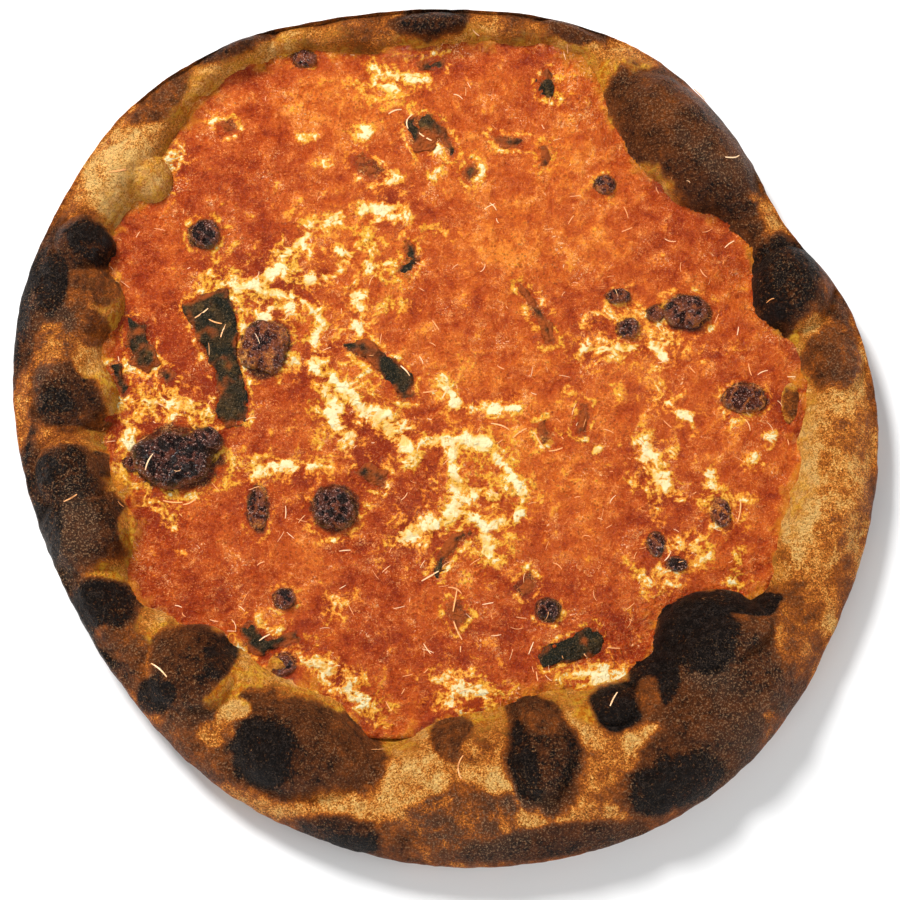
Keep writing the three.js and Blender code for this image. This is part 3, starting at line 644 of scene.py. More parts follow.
# the raised rim, from its foot under the sauce over the top and down the outer wall
crust = {
    "columns": 1080,
    "rows": 82,
    "underSauce": 10.0,  # how far the relief goes on under the sauce
    "rimShare": 0.74,  # share of the rows on top of the rim, the rest are on the outer wall
    "shoulder": 0.78,  # share of the width where the outer wall begins to bend down
    "wrinkle": 0.42,
    "tallestDome": 25.0,
    "domeFoot": 5.4,
    "domeEnd": 0.86,  # share of the width where the domes end, so that none hangs over the wall
    "bubbles": [  # place, half-lengths, turn, height, sharpness
        ((89, 101), (33.4, 17.5), -47, 6, 0.7), ((125, 46), (14.8, 15.2), 0, 6, 0.5),
        ((138, 17), (10.6, 11.6), 0, 3, 0.8), ((138, -29), (12, 32.7), 0, 2.5, 1.2),
        ((91, -77), (20.4, 14.5), 20, 6.5, 0.5), ((98, -102), (25.3, 21), 0, 3.5, 1),
        ((57, -102), (8.4, 8), 0, 5, 0.5), ((78, -129), (17.6, 11.6), 20, 3, 0.9),
        ((32, -117), (9.9, 19), 10, 4, 0.7), ((6, -115), (9.2, 8.7), 0, 3.5, 0.7),
        ((-48, -117), (25.3, 16.7), -10, 5.5, 0.7), ((-85, -90), (15.5, 16.7), 0, 5, 0.7),
        ((-117, -71), (12.7, 15.2), 0, 4, 0.8), ((-124, -44), (14.8, 14.5), 0, 5.5, 0.6),
        ((-129, -22), (12.7, 13.1), 0, 5, 0.6), ((-130, 8), (14.1, 15.2), 0, 4.5, 0.7),
        ((-124, 41), (9.4, 12.2), 0, 3.5, 0.7), ((-129, 63), (10.6, 10.2), 0, 4.5, 0.6),
        ((-112, 93), (10.6, 14.5), 45, 2.5, 1.2), ((-77, 141), (14.8, 8), 25, 3, 1),
        ((-5, 149), (12.7, 6), 3, 3.5, 0.7), ((48, 146), (14.1, 7), -15, 3, 1),
        ((-11, -136), (14.1, 10.9), 0, 2.5, 1.2), ((-36, -142), (14.8, 7.3), -10, 2, 1),
    ],
    "smallBubbles": [  # place, half-lengths, height
        ((-119, -18.6), (4.4, 5.4), 2.2), ((-122, -2.5), (4.8, 2.6), 1.8), ((-121, 46), (5.0, 7.6), 2.2),
        ((-75.5, -86.5), (4.6, 8.2), 2.4), ((-57, -88), (4.6, 3.4), 1.6), ((-67, -92), (4.2, 3.6), 1.2),
        ((3, -108), (4.6, 3.6), 1.6), ((9, -112), (3.2, 4.4), 1.4), ((11.5, -117), (4.6, 5.0), 1.6),
        ((69, -92), (6.0, 7.4), 2.6), ((83, -77), (9.8, 12.0), 1.6), ((-109, -41), (2.8, 7.6), 1.2),
        ((33, -107), (6.8, 6.4), 1.8), ((111, -100), (4, 6), 1.0), ((137, -63), (4.6, 9), 1.0),
        ((123.5, 5), (4, 7.5), 1.5),
    ],
    "burns": [  # place, half-lengths, turn, how far baked: 0 pale, 0.5 brown, 1 black
        ((134, -28), (14, 44), 0, 0.30), ((124, -28), (5.5, 28), -6, 0.08), ((123.5, 5), (3.6, 7), 0, 0.6),
        ((124, 22), (4, 12), 0, 0.1), ((62, 130), (17, 14), 0, 0.34), ((-115, 82), (12, 17), 30, 0.05),
        ((96, -100), (25, 30), 0, 0.75), ((112, -88), (13, 30), 0, 0.68), ((120, -76), (9, 17), 0, 0.5),
        ((110, -113), (7, 10), -30, 0.44), ((-86, -115), (18, 12), -35, 0.62),
        ((7, -140), (17, 13), 0, 0.56), ((-42, -135), (28, 6), -5, 0.26), ((-12, -127), (14, 9), 0, 0.14),
        ((-21, -132), (13, 6), 0, 0.14), ((51, -120), (9.5, 15), 0, 0.36), ((50, -113), (5, 5), 0, 0.2),
        ((-137, 23), (8, 9), 0, 0.44), ((-148, -1), (4.5, 14), 0, 0.36),
        ((-116, -57), (10, 4.5), -20, 0.34), ((90, 100), (35, 18.5), -47, 0.74),
        ((100, 78), (24, 9), -52, 0.78), ((122, 48), (12.5, 17), 0, 0.93), ((139, 46), (5, 17), 10, 0.64),
        ((137, 20), (10, 11), 0, 0.62), ((137, -63), (5, 11), 0, 0.46), ((96, -88), (15, 14), 20, 0.82),
        ((104, -67.5), (13, 6), -5, 1.1), ((86, -77), (12.5, 15), 0, 1.1), ((71.5, -93), (8, 9.5), 0, 1.08),
        ((59, -103), (9, 8.5), 0, 1.08), ((69, -102), (4, 8.5), 0, 0.62), ((84, -120), (24, 17), 25, 0.74),
        ((75, -129), (17, 8.5), 15, 0.98), ((36, -148), (32, 5), 8, 0.8),
        ((33, -118), (10.5, 18.5), 10, 0.86), ((27, -122), (4.5, 14), 10, 0.98),
        ((33, -106.6), (7, 6.5), 0, 0.66), ((-48, -116), (25.5, 16), -10, 0.77),
        ((-60, -118), (12, 11), -10, 1.0), ((-31, -115), (9.5, 12), 0, 0.68),
        ((-35, -145), (13, 6), -8, 0.84), ((-32, -149), (10, 3), 0, 0.98), ((3.6, -112), (7, 9), 0, 0.62),
        ((11.5, -117), (5, 5.5), 0, 0.4), ((-86, -88), (13, 16), 0, 0.78), ((-97, -100), (7, 7), 0, 0.98),
        ((-75.5, -86.5), (5, 9), 0, 0.92), ((-70, -105), (6, 4), 0, 0.08), ((-75, -112), (7, 4.5), 0, 0.36),
        ((-117, -70), (12, 9), 0, 0.98), ((-109, -83), (10, 5), -30, 0.66),
        ((-123, -43), (14, 12.5), 0, 0.79), ((-136, -42), (6.5, 14), 0, 0.98),
        ((-109.5, -41), (2.8, 8), 0, 0.44), ((-131, -24), (11.5, 10.5), 0, 0.88),
        ((-137, -22), (5, 5), 0, 0.98), ((-119, -18.6), (4.4, 5.4), 0, 0.68),
        ((-133, 3), (12.5, 11.8), 0, 0.76), ((-136, 2), (6.5, 5.5), 0, 0.92),
        ((-122, -2.5), (5, 2.6), 0, 0.66), ((-131, -9.5), (14, 3.4), 0, 0.40),
        ((-125, 31), (6.5, 6), 0, 0.56), ((-130, 44), (6, 8), 0, 0.56), ((-121, 46), (5.5, 8), 0, 0.56),
        ((-139, 46), (6, 13), 0, 0.98), ((-126, 63), (8, 8.5), 0, 0.97), ((-125, 17), (4, 5), 0, 0.2),
        ((-77, 143), (15, 7), 25, 0.78), ((-5, 151), (13, 6), 3, 0.86), ((48, 148), (14, 6), -15, 0.74),
        ((-104, 120), (14, 7), 50, 0.55),
    ],
    "floury": [  # place, half-lengths
        ((100, -100), (34, 34)), ((92, 98), (36, 22)), ((138, -20), (14, 50)), ((15, -140), (40, 16)),
        ((-135, 20), (14, 24)), ((-128, -40), (16, 26)), ((-80, -112), (20, 14)),
    ],
    "oily": [  # place, half-lengths
        ((-69, -95), (13, 10)), ((-97, -78), (5, 5)), ((50, -104), (8, 6)), ((60, 122), (20, 14)),
        ((5, -104), (12, 6)), ((-20, -106), (9, 5)), ((-46, -104), (22, 4)), ((-116, -57), (9, 4)),
        ((121, 27), (6, 8)), ((-118, 60), (4, 12)), ((-108, -75), (6, 5)), ((-107, -41), (4, 12)),
        ((-117, 14), (6, 7)),
    ],
}


# height of each bubble's middle, taken from the plain rim under it
def findPeaks():
    peaks = []
    for at, size, turn, height, sharpness in crust["bubbles"]:
        inner, outer = [float(radii[0]) for radii in rimRadii(np.array([math.atan2(at[1], at[0])]))]
        share = (math.hypot(*at) - inner) / (outer - inner)
        crest = form["rimLow"] + form["rimRise"] * (outer - inner)
        lift = float(rimLift(np.clip(np.array([share]), 0, 1))[0])
        peak = 0.94 * (form["edge"] + lift * (crest - form["edge"] + height))
        peaks.append(min(peak, crust["tallestDome"]))
    return peaks


def rimLift(share):
    places, heights = zip(*form["section"])
    dense = np.linspace(0, 1, 201)
    curve = np.interp(dense, places, heights)
    for _ in range(14):
        curve[1:-1] = (curve[:-2] + 2 * curve[1:-1] + curve[2:]) / 4
    return np.interp(share, dense, curve)


# how far the dough is baked at each point, 0 pale to 1 black
def bakeMap(x, y, share):
    edgeNoise = 0.20 * rough(x, y, 9, 5, 4)
    bake = 0.27 + 0.20 * rough(x, y, 22, 6, 3) + 0.22 * smoothStep(0.55, 1.0, share)
    bake = bake + 0.32 * smoothStep(-96, -118, x) * smoothStep(84, 66, y) * smoothStep(0.12, 0.4, share)
    for at, size, turn, target in crust["burns"]:
        distance = ellipse(x, y, at, size, turn) + edgeNoise
        if target > 0.76:
            bake = np.maximum(bake, 0.58 * smoothStep(1.5, 1.0, distance))
        mask = smoothStep(1.07, 0.95, distance) if target > 1 else smoothStep(1.16, 0.82, distance)
        bake = bake + (target - bake) * mask
    return bake


# top of the crust at any place, with its bubbles, crags and wrinkles
def crustTop(x, y, detailed=True):
    inner, outer = rimRadii(np.arctan2(y, x))
    width = outer - inner
    share = (np.hypot(x, y) - inner) / width
    lift = rimLift(np.clip(share, 0, 1))
    rise = np.zeros_like(x)
    groove = np.zeros_like(x)
    uneven, smallUneven = 0.05 * rough(x, y, 8, 31, 2), 0.08 * rough(x, y, 5, 37, 2)
    for at, size, turn, height, sharpness in crust["bubbles"]:
        distance = ellipse(x, y, at, size, turn) + uneven
        inside = np.clip(1 - distance * distance, 0, 1)
        rise = np.maximum(rise, height * inside ** sharpness)
        groove = np.maximum(groove, 0.09 * height * np.exp(-((distance - 1.04) / 0.07) ** 2))
    for at, size, height in crust["smallBubbles"]:
        distance = ellipse(x, y, at, size) + smallUneven
        inside = np.clip(1 - distance * distance, 0, 1)
        rise = rise + height * inside ** 0.6
    crags = form["crag"] * lift * (swell(x, y, 17, 1) + 0.8 * swell(x, y, 31, 4))
    crest = form["rimLow"] + form["rimRise"] * width
    z = form["edge"] + lift * (crest - form["edge"]) + np.sqrt(lift) * (rise - groove) + crags
    if detailed:
        bake = bakeMap(x, y, share)
        creases = 1 - np.abs(rough(x, y, 4.2, 9, 3)) * 2.2
        wrinkled = smoothStep(0.6, 0.95, bake)
        z = z + np.sqrt(lift) * (0.45 * rough(x, y, 10, 2, 3) + 0.16 * rough(x, y, 2.6, 3, 3))
        z = z + lift * wrinkled * crust["wrinkle"] * np.clip(creases, -0.6, 1)
    offset = share * width
    slope = (form["edge"] - form["floor"]) / form["tuck"]
    z = np.where(offset < 0, form["edge"] + slope * np.maximum(offset, -form["tuck"]), z)
    domes = np.zeros_like(x)
    for (at, size, turn, height, sharpness), peak in zip(crust["bubbles"], domePeaks):
        distance = ellipse(x, y, at, size, turn) + uneven
        dome = (peak - crust["domeFoot"]) * np.clip(1 - distance * distance, 0, 1) ** min(sharpness, 0.62)
        domes = np.maximum(domes, np.where(distance < 1, crust["domeFoot"] + dome, 0))
    for at, size, height in crust["smallBubbles"]:
        distance = ellipse(x, y, at, size) + smallUneven
        dome = 5.6 + 4.0 * np.clip(1 - distance ** 2, 0, 1) ** 0.5
        domes = np.maximum(domes, np.where(distance < 1, dome, 0))
    if detailed:
        domes = domes + 0.4 * wrinkled * np.clip(creases, -0.6, 1) + 0.25 * rough(x, y, 6, 4, 3)
    fade = smoothStep(crust["domeEnd"], 0.7, share)
    return np.where((domes > z) & (share < crust["domeEnd"]), z + (domes - z) * fade, z)


domePeaks = findPeaks()


def makeCrust():
    piece = addGrid("crust", crust["columns"], crust["rows"])
    points = readPoints(piece)
    u = (points[:, 0] - points[:, 0].min()) / np.ptp(points[:, 0])
    v = (points[:, 1] - points[:, 1].min()) / np.ptp(points[:, 1])
    angle = 2 * math.pi * u
    inner, outer = rimRadii(angle)
    width = outer - inner
    onTop = v <= crust["rimShare"]
    start = -crust["underSauce"] / width
    share = start + (0.9 - start) * np.clip(v / crust["rimShare"], 0, 1)
    radius = inner + share * width
    x, y = radius * np.cos(angle), radius * np.sin(angle)
    z = crustTop(x, y)
    # the outer wall is a smooth curve from the shoulder down to the underside
    shoulder = inner + crust["shoulder"] * width
    controls = [(shoulder, crustTop(shoulder * np.cos(angle), shoulder * np.sin(angle))), (radius, z)]
    controls += [(outer - inset, np.full_like(z, height)) for inset, height in form["wall"]]
    controls.append((outer - 12, np.zeros_like(z)))
    along = np.clip((v - crust["rimShare"]) / (1 - crust["rimShare"]), 0, 1) * len(form["wall"])
    step = np.minimum(along.astype(int), len(form["wall"]) - 1)
    t = along - step
    radii, heights = np.array([c[0] for c in controls]), np.array([c[1] for c in controls])
    column = np.arange(len(v))

    def along4(table):
        a, b, c, d = [table[step + k, column] for k in range(4)]
        return 0.5 * (2 * b + t * (c - a + t * (2 * a - 5 * b + 4 * c - d + t * (3 * b - a - 3 * c + d))))

    wallRadius, wallHeight = along4(radii), np.clip(along4(heights), 0, None)
    pits = 0.55 * (0.5 + 0.5 * rough(angle * 150, wallHeight + 300, 5, 12, 3))
    pits *= smoothStep(0, 3, wallHeight) * smoothStep(0, 1.5, along)
    wallRadius = np.minimum(wallRadius, outer) - pits
    radius = np.where(onTop, radius, wallRadius)
    z = np.where(onTop, z, wallHeight)
    z = np.minimum(z, form["highest"])
    x, y = radius * np.cos(angle), radius * np.sin(angle)
    writePoints(piece, np.column_stack([x, y, z]) * mm)
    closeUp()
    bpy.ops.object.shade_smooth()
    return piece


def paintCrust(piece):
    points = readPoints(piece) / mm
    x, y, z = points.T
    inner, outer = rimRadii(np.arctan2(y, x))
    offset = np.hypot(x, y) - inner
    share = offset / (outer - inner)
    bake = bakeMap(x, y, share)
    under = smoothStep(9, 0.5, z) * smoothStep(0.6, 0.9, share)
    underBake = 0.42 + 0.35 * rough(x, y, 14, 21, 3)
    paint(piece, "bake", bake + (underBake - bake) * under)
    oily = smoothStep(9, 0.5, offset + 4 * rough(x, y, 9, 14, 3)) * 0.72
    for at, size in crust["oily"]:
        oily = np.maximum(oily, smoothStep(1.25, 0.6, ellipse(x, y, at, size) + 0.25 * rough(x, y, 7, 15, 3)))
    paint(piece, "oil", oily * smoothStep(0.58, 0.42, bake))
    floury = 0.25 + 0.35 * rough(x, y, 16, 16, 3)
    for at, size in crust["floury"]:
        floury = floury + 0.45 * smoothStep(1.2, 0.4, ellipse(x, y, at, size))
    jetBlack = smoothStep(0.98, 0.9, bake)
    paint(piece, "flour", floury * smoothStep(0.1, 0.4, share) * (0.25 + 0.75 * jetBlack))


crustPiece = makeCrust()
paintCrust(crustPiece)
finishPiece(crustPiece, ["dough"], crustMaterial)
print("crust made", len(crustPiece.data.polygons))

# blisters of dough that break through the sauce
blister = {
    "list": [  # place, half-lengths, top, how far baked
        ((-94, -15), (14.6, 10.6), 12.5, 0.92), ((-84, -9), (5.5, 4.5), 13.2, 0.95),
        ((-110, -17), (3.4, 2.9), 8.2, 0.6), ((-87, 69), (5.3, 5.4), 10, 0.85),
        ((-64, 26), (8.6, 10.2), 10.5, 0.54), ((-38, -33), (7.5, 7.8), 11.5, 0.84),
        ((-65, -33), (3.8, 8.2), 8.4, 0.66), ((-55, -65), (3.8, 3.6), 8.8, 0.72),
        ((59, 88), (3.9, 3.6), 9.2, 0.7), ((63, 45), (4.4, 2.9), 8.8, 0.72),
        ((87, 39), (8.2, 6.2), 10.4, 0.8), ((66, 33), (4.2, 3.6), 8.8, 0.7),
        ((76.5, 38.5), (3.6, 3), 8.4, 0.72), ((107, 7), (7.2, 5.2), 9.4, 0.7),
        ((97, -34.5), (3.5, 5.4), 8.8, 0.7), ((74, -46), (3.2, 4.2), 8.6, 0.72),
        ((81, -53), (3.4, 2.5), 8.4, 0.75), ((36, -69), (4.2, 4), 9.6, 0.88),
        ((-52, 138), (4.6, 3.4), 9, 0.72), ((-55, -88), (4.4, 4), 9, 0.78),
    ],
    "foot": 3.0,
    "level": 6.2,  # height of the widest part, in the sauce
    "wrinkle": 0.75,
}


def makeBlister(number, at, size, top, baked):
    deselectAll()
    count = int(44 + 7 * max(size))
    bpy.ops.mesh.primitive_uv_sphere_add(segments=count, ring_count=count // 2, radius=1)
    piece = bpy.context.active_object
    piece.name = piece.data.name = "blister%02d" % number
    points = readPoints(piece)
    side = np.hypot(points[:, 0], points[:, 1])
    swollen = side ** 0.8 * np.where(side > 1e-6, 1, 0) / np.maximum(side, 1e-6)
    x, y = points[:, 0] * swollen, points[:, 1] * swollen
    bulge = 1 + 0.17 * rough(x * 5 + 10 * number, y * 5, 3.4, 40 + number, 3)
    x, y = at[0] + x * size[0] * bulge, at[1] + y * size[1] * bulge
    level = blister["level"]
    half = (top - level) * 0.85
    height = np.where(points[:, 2] > 0, level + half * np.clip(points[:, 2], 0, 1) ** 0.65,
                      level + (level - blister["foot"]) * points[:, 2])
    creases = np.clip(1 - 2.6 * np.abs(rough(x, y, 2.9, 60 + number, 3)), -0.7, 1)
    height = height + blister["wrinkle"] * creases * smoothStep(0.0, 0.5, points[:, 2]) * min(1, size[0] / 7)
    writePoints(piece, np.column_stack([x, y, height]) * mm)
    bpy.ops.object.shade_smooth()
    rim = smoothStep(0.75, 0.1, points[:, 2])
    hollowShade = smoothStep(0.1, -0.5, creases)
    # the hollows between the creases get painted shade, added to the bake
    paint(piece, "bake", baked - 0.16 + 0.14 * rough(x, y, 5, 70, 3) + 0.34 * hollowShade - 0.2 * rim)
    paint(piece, "oil", 0.3 * rim)
    paint(piece, "flour", np.zeros(len(x)))
    return piece


for number, entry in enumerate(blister["list"], 1):
    finishPiece(makeBlister(number, *entry), ["dough"], blisterMaterial)
print("blisters made")

# melted mozzarella: each web is made of strokes, a half-width and a path
mozzarella = {
    "spacing": 0.55,
    "thickness": 1.2,
    "webs": {
        "centre": [(2.6, [(-2.5, -8), (3.5, -9.5), (3, -20), (5.5, -30), (0, -37.5), (-14.5, -43)]),
                   (2.2, [(2, -9), (13.5, -8.5), (24, -20.5), (28, -29), (25.5, -37.5), (15, -39.5),
                          (4, -34)]),
                   (1.7, [(13.5, -38), (16, -50.5)]), (1.5, [(4, -24.5), (17.5, -29)])],
        "diagonal": [(2.6, [(-45, 19), (-35, 10.5), (-27, 1), (-13, -9.5), (-9.5, -16.5)])],
        "diagonal_left": [(2.1, [(-40.5, 1.5), (-37, -4), (-32.5, -9)])],
        "middle": [(1.3, [(3.5, 5.5), (18, 2.5), (26.5, 3.8)])],
        "upper_left": [(1.5, [(-85, 54), (-78.5, 49), (-70, 49), (-63, 46)]),
                       (1.7, [(-66, 47), (-55, 45.5), (-47.5, 41), (-43, 34.5), (-46.5, 29)]),
                       (1.4, [(-66, 47), (-59, 57.5), (-50, 68.5), (-47, 74), (-40.5, 75.5), (-18, 79.5)]),
                       (1.3, [(-59, 57), (-56.5, 50.5), (-46, 51.5)])],
        "upper_middle": [(1.2, [(-32.5, 47), (-31.5, 38), (-30.5, 31)])],
        "upper_right": [(1.3, [(50, 25), (66.5, 26.2), (84, 29)])],
        "right": [(1.8, [(71, -10.5), (72.5, -18.5), (76.5, -26.5)])],
        "right_outer": [(1.3, [(73.5, 8.5), (81, 4.5), (88, -0.5)])],
        "left_band": [(2.1, [(-114.5, 7), (-107.5, 5.5), (-99.5, 5.5), (-86, 2.5)])],
        "middle_left": [(1.3, [(-65.5, -20.5), (-55.5, -19), (-47, -18)])],
        "lower_left": [(1.6, [(-47, -86.5), (-35, -89.5), (-29, -98), (-24, -105)])],
        "lower_right": [(1.5, [(41.5, -91.5), (49, -90.5), (57, -88)])],
        "bottom": [(1.9, [(-4, -91.5), (2, -94), (16, -96)])],
        "top": [(1.8, [(-27, 135), (-18.5, 132), (-8, 130)])],
    },
    "threads": [  # thin strings of cheese lying in the sauce
        (0.9, [(-84, 51), (-79, 48), (-72, 46), (-64, 45)]),
        (0.6, [(-64, 53), (-59, 54), (-56, 58), (-50, 65)]),
        (0.7, [(-56, 56), (-55, 51), (-50, 49), (-43, 53)]),
        (0.8, [(-50, 67), (-47, 70), (-42, 73), (-37, 74)]), (0.6, [(-40, 64), (-37, 61), (-34, 61)]),
        (0.8, [(-35, 60), (-38, 57), (-37, 54)]), (0.6, [(-30, 73), (-24, 74), (-17, 76)]),
        (0.9, [(-30, 65), (-27, 67), (-24, 65)]), (0.6, [(-23, 62), (-20, 58), (-27, 56)]),
        (0.9, [(-62, 41), (-50, 42), (-45, 38), (-41, 31)]), (0.5, [(-41, 31), (-46, 29), (-51, 29)]),
        (0.5, [(-72, 33), (-64, 37), (-56, 36)]), (0.7, [(-33, 45), (-28, 46)]),
        (0.8, [(-30, 42), (-32, 36), (-30, 31)]), (0.9, [(-40, 16), (-37, 11), (-32, 8)]),
        (0.8, [(-43, 12), (-40, 6), (-36, 4)]), (0.9, [(-1, 12), (3, 9)]),
        (0.8, [(-25, 4), (-16, -2), (-12, -4)]), (0.8, [(-21, -3), (-15, -8), (-12, -14)]),
        (0.7, [(6, -25), (17, -28)]), (0.8, [(12, -38), (14, -44), (16, -51)]),
        (0.8, [(-15, -43), (-10, -40), (-5, -38)]), (0.8, [(20, 6), (25, 6), (24, 3)]),
        (0.7, [(-65, -19), (-59, -17), (-52, -18), (-44, -17)]),
        (0.7, [(-113, 0), (-112, -5), (-115, -9), (-108, -12)]), (0.6, [(50, 26), (55, 24), (63, 26)]),
        (0.7, [(69, 25), (76, 26), (79, 23)]), (0.6, [(73, 8), (79, 4), (86, -1)]),
        (0.7, [(73, -14), (74, -21), (78, -27)]), (0.6, [(-3, -99), (4, -97), (12, -97)]),
        (0.7, [(0, -103), (6, -104), (15, -103)]), (0.7, [(-40, -90), (-35, -93), (-32, -99)]),
        (0.5, [(41, -97), (52, -94), (63, -93)]), (0.5, [(-27, 129), (-21, 126), (-17, 127)]),
    ],
    "creamy": 0.77,  # the middle of a patch, apart from the yellowed ones
    "yellowed": {
        "left_band": 0.54, "lower_left": 0.56, "bottom": 0.58, "right": 0.66, "lower_right": 0.64,
        "top": 0.64, "middle_left": 0.64, "upper_middle": 0.66, "upper_right": 0.66,
    },
}


# millimetres inside the strokes of a web, with their half-widths scaled by spread
def meltDepth(x, y, strokes, spread):
    depth = np.full(x.shape, -1e9)
    for half, path in strokes:
        depth = np.maximum(depth, half * spread - lineDistance(x, y, path))
    return depth


# torn basil: the outline of each leaf, and how far sauce and cheese cover it
basil = {
    "thickness": 0.5,
    "lift": 0.55,  # above the sauce
    "fold": 0.9,
    "foldWave": 9.5,
    "spacing": 0.6,
    "outlines": [
        [(-94, 42.5), (-86, 45), (-78.5, 48), (-74.5, 39), (-73.6, 22), (-70.5, 9), (-70, -1), (-77, -3.5),
         (-81.5, 2), (-80, 10), (-82, 17), (-89, 30)],
        [(-14.5, 114), (-5, 116.5), (1, 110.5), (5, 101.5), (3, 98.5), (-1.5, 106), (-5, 101.5), (-11, 101)],
        [(38.5, 134.5), (41.5, 128), (41, 122), (35.5, 123.5), (35, 129)],
        [(-38, 27.5), (-28, 28.5), (-18.5, 22.5), (-10.5, 15), (-9.5, 6.5), (-14.5, 6), (-21, 15), (-30, 23)],
        [(-71.5, -75.5), (-66.5, -71), (-61, -78.5), (-50.5, -75.5), (-48.5, -79.5), (-57.5, -82),
         (-62, -85.5), (-66.5, -83.5)],
        [(33, -84.5), (41, -79.5), (52.5, -74), (56, -79.5), (55, -83.5), (44, -87), (34, -89)],
        [(-4, -55.5), (-1, -48.5), (3, -42.5), (9.5, -39.5), (12, -42.5), (6.5, -45), (2.5, -50), (-2, -58)],
        [(-113.5, 36.5), (-106, 35), (-104.5, 27), (-101.5, 20), (-106, 16), (-112, 20), (-113.5, 28.5)],
        [(-118.5, 18.5), (-115.5, 19.5), (-111.5, 10.5), (-113.5, 7.5), (-117.5, 13)],
        [(-15, 68), (-10, 65), (-9.5, 58), (-13.5, 52), (-17, 55), (-14.5, 60.5)],
        [(16.5, 108.5), (22.5, 108), (30.5, 107), (29, 102.5), (20.5, 103.5)],
        [(-34.5, 98.5), (-30, 101.5), (-22.5, 94), (-26.5, 90.5), (-32, 93.5)],
        [(6, 93), (10.5, 97.5), (13.5, 93.5), (9, 88)],
        [(26, 50), (31, 47), (37, 38), (40.5, 28), (36, 26), (34, 35)],
        [(48.5, 5.5), (51.5, 5), (50, -6.5), (47, -6)],
        [(-31.5, -20), (-27, -16), (-19.5, -20), (-21, -26.5), (-26, -25.5)],
        [(35, 104.5), (38.5, 104.5), (39, 95.5), (35, 95)],
        [(0, -67), (5, -65.5), (8.5, -71), (4.5, -76.5)],
        [(24.5, -61), (30, -56), (33, -60), (28, -64.5)],
        [(-12, 138), (-4, 138.5), (1, 140), (0, 133.5), (-9, 133.5)],
        [(-102.5, 16.5), (-99, 19), (-95, 16.5), (-98, 12)],
        [(32, -3), (36, -0.5), (39, -6.5), (35, -9.5)],
        [(-84, 112), (-79, 114), (-76, 109.5), (-81, 107.5)],
    ],
    "buried": [0.1, 0.25, 0.1, 0.15, 0.3, 0.1, 0.3, 0.3, 0.2, 0.3, 0.35, 0.6, 0.55, 0.35, 0.35, 0.4, 0.5,
               0.6, 0.55, 0.4, 0.4, 0.55, 0.6],
}


# the sauce, up to the foot of the rim
sauce = {
    "box": ((-156, -112), (152, 156)),
    "spacing": 0.95,
    "under": 3.6,
    "creep": 5.0,  # how far the thin edge runs up the foot of the rim
    "climb": 2.2,
    "tones": [  # place, half-lengths, how far the colour shifts: below 0 dark red, above 0 orange
        ((22, 28), (32, 30), 0.16), ((-80, 40), (40, 60), -0.20), ((-10, -75), (80, 22), -0.15),
        ((-60, 60), (60, 55), -0.06), ((60, 90), (45, 45), 0.02), ((100, 30), (30, 30), 0.14),
        ((0, 60), (50, 35), 0.06), ((-80, -35), (35, 25), -0.13), ((-20, -60), (60, 35), -0.09),
        ((-95, 90), (25, 30), -0.05), ((70, -50), (40, 30), -0.10), ((-40, 118), (45, 22), 0.08),
    ],
    "milky": [  # place, half-lengths, strength
        ((-3, 71.6), (9, 4.5), 0.42), ((-26, 64), (8, 9), 0.46), ((-17, 41), (9, 4), 0.4),
        ((-39, -66), (10, 7), 0.4), ((7, -99), (14, 7), 0.5), ((-94, -38), (6, 4), 0.4),
        ((-92, -49), (5, 3.5), 0.35), ((-53, 20), (6, 7), 0.42), ((67, 37), (22, 14), 0.38),
        ((-100, 4), (19, 8), 0.40), ((71, -58), (5, 4), 0.4), ((-101, -27), (9, 9), 0.44),
        ((-31, 109), (5, 5), 0.55), ((-51, 107), (4, 2.6), 0.5), ((-44, 97), (4.5, 3), 0.5),
        ((-19, 91), (6, 4), 0.55), ((-2, 93.5), (4, 4), 0.5), ((89.6, -50), (5, 4), 0.5),
        ((101, -58), (4, 5), 0.5), ((115, -8), (4, 5), 0.45), ((110, -16), (5, 4), 0.45),
        ((44, 9.6), (5, 4), 0.45), ((-22, 125), (16, 9), 0.4), ((75, -22), (11, 18), 0.42),
        ((98, -33), (9, 12), 0.42), ((8, -24), (28, 24), 0.30), ((-30, 6), (24, 16), 0.28),
        ((-58, 50), (30, 16), 0.26), ((54.2, -12), (2.6, 2.6), 1.0), ((-38, -92), (14, 9), 0.42),
        ((74, -9), (7, 5.5), 0.4), ((76, -23), (6.5, 11), 0.46), ((95, -21), (3, 7), 0.6),
        ((102, -3), (4.5, 5.5), 0.38), ((87, -47), (10, 9), 0.42), ((101, -45), (5, 9), 0.42),
        ((73, -58), (11, 6), 0.42), ((48, -90), (14, 5), 0.42), ((-60, -17), (16, 5), 0.34),
        ((85, 26), (26, 8), 0.3), ((-100, 96), (8, 12), 0.4),
    ],
}


def sauceDepth(x, y):
    angle = np.arctan2(y, x)
    ragged = 1.6 * rough(x, y, 13, 105, 3)
    return radiusAt(form["sauceEdge"], angle) + sauce["creep"] + ragged - np.hypot(x, y)


def sauceSurface(x, y):
    relief = 0.36 * rough(x, y, 12, 101, 3) + 0.20 * rough(x, y, 4.5, 102, 3)
    z = sauceHeight(x, y) + relief
    for at, size, top, baked in blister["list"]:  # sauce piles up round the blisters
        distance = ellipse(x, y, at, size)
        z = z + 0.5 * np.exp(-((distance - 1.08) / 0.22) ** 2)
    # the edge runs up the foot of the rim in a film that thins out raggedly
    offset = sauce["creep"] - sauceDepth(x, y)
    film = 0.5 - 0.42 * np.maximum(offset, -1) + 1.5 * rough(x, y, 8, 103, 3) + 0.5 * rough(x, y, 3, 104, 2)
    rise = np.clip(crustTop(x, y, False) - form["edge"], 0, None)
    foot = form["edge"] + sauce["climb"] * (1 - np.exp(-rise / sauce["climb"]))
    slope = foot + np.clip(film, -1.2, 1.0)
    nearRim = smoothStep(-4.5, -1.5, offset)
    return z + (np.maximum(z, slope) - z) * nearRim - 2.5 * smoothStep(2.5, sauce["creep"], offset)


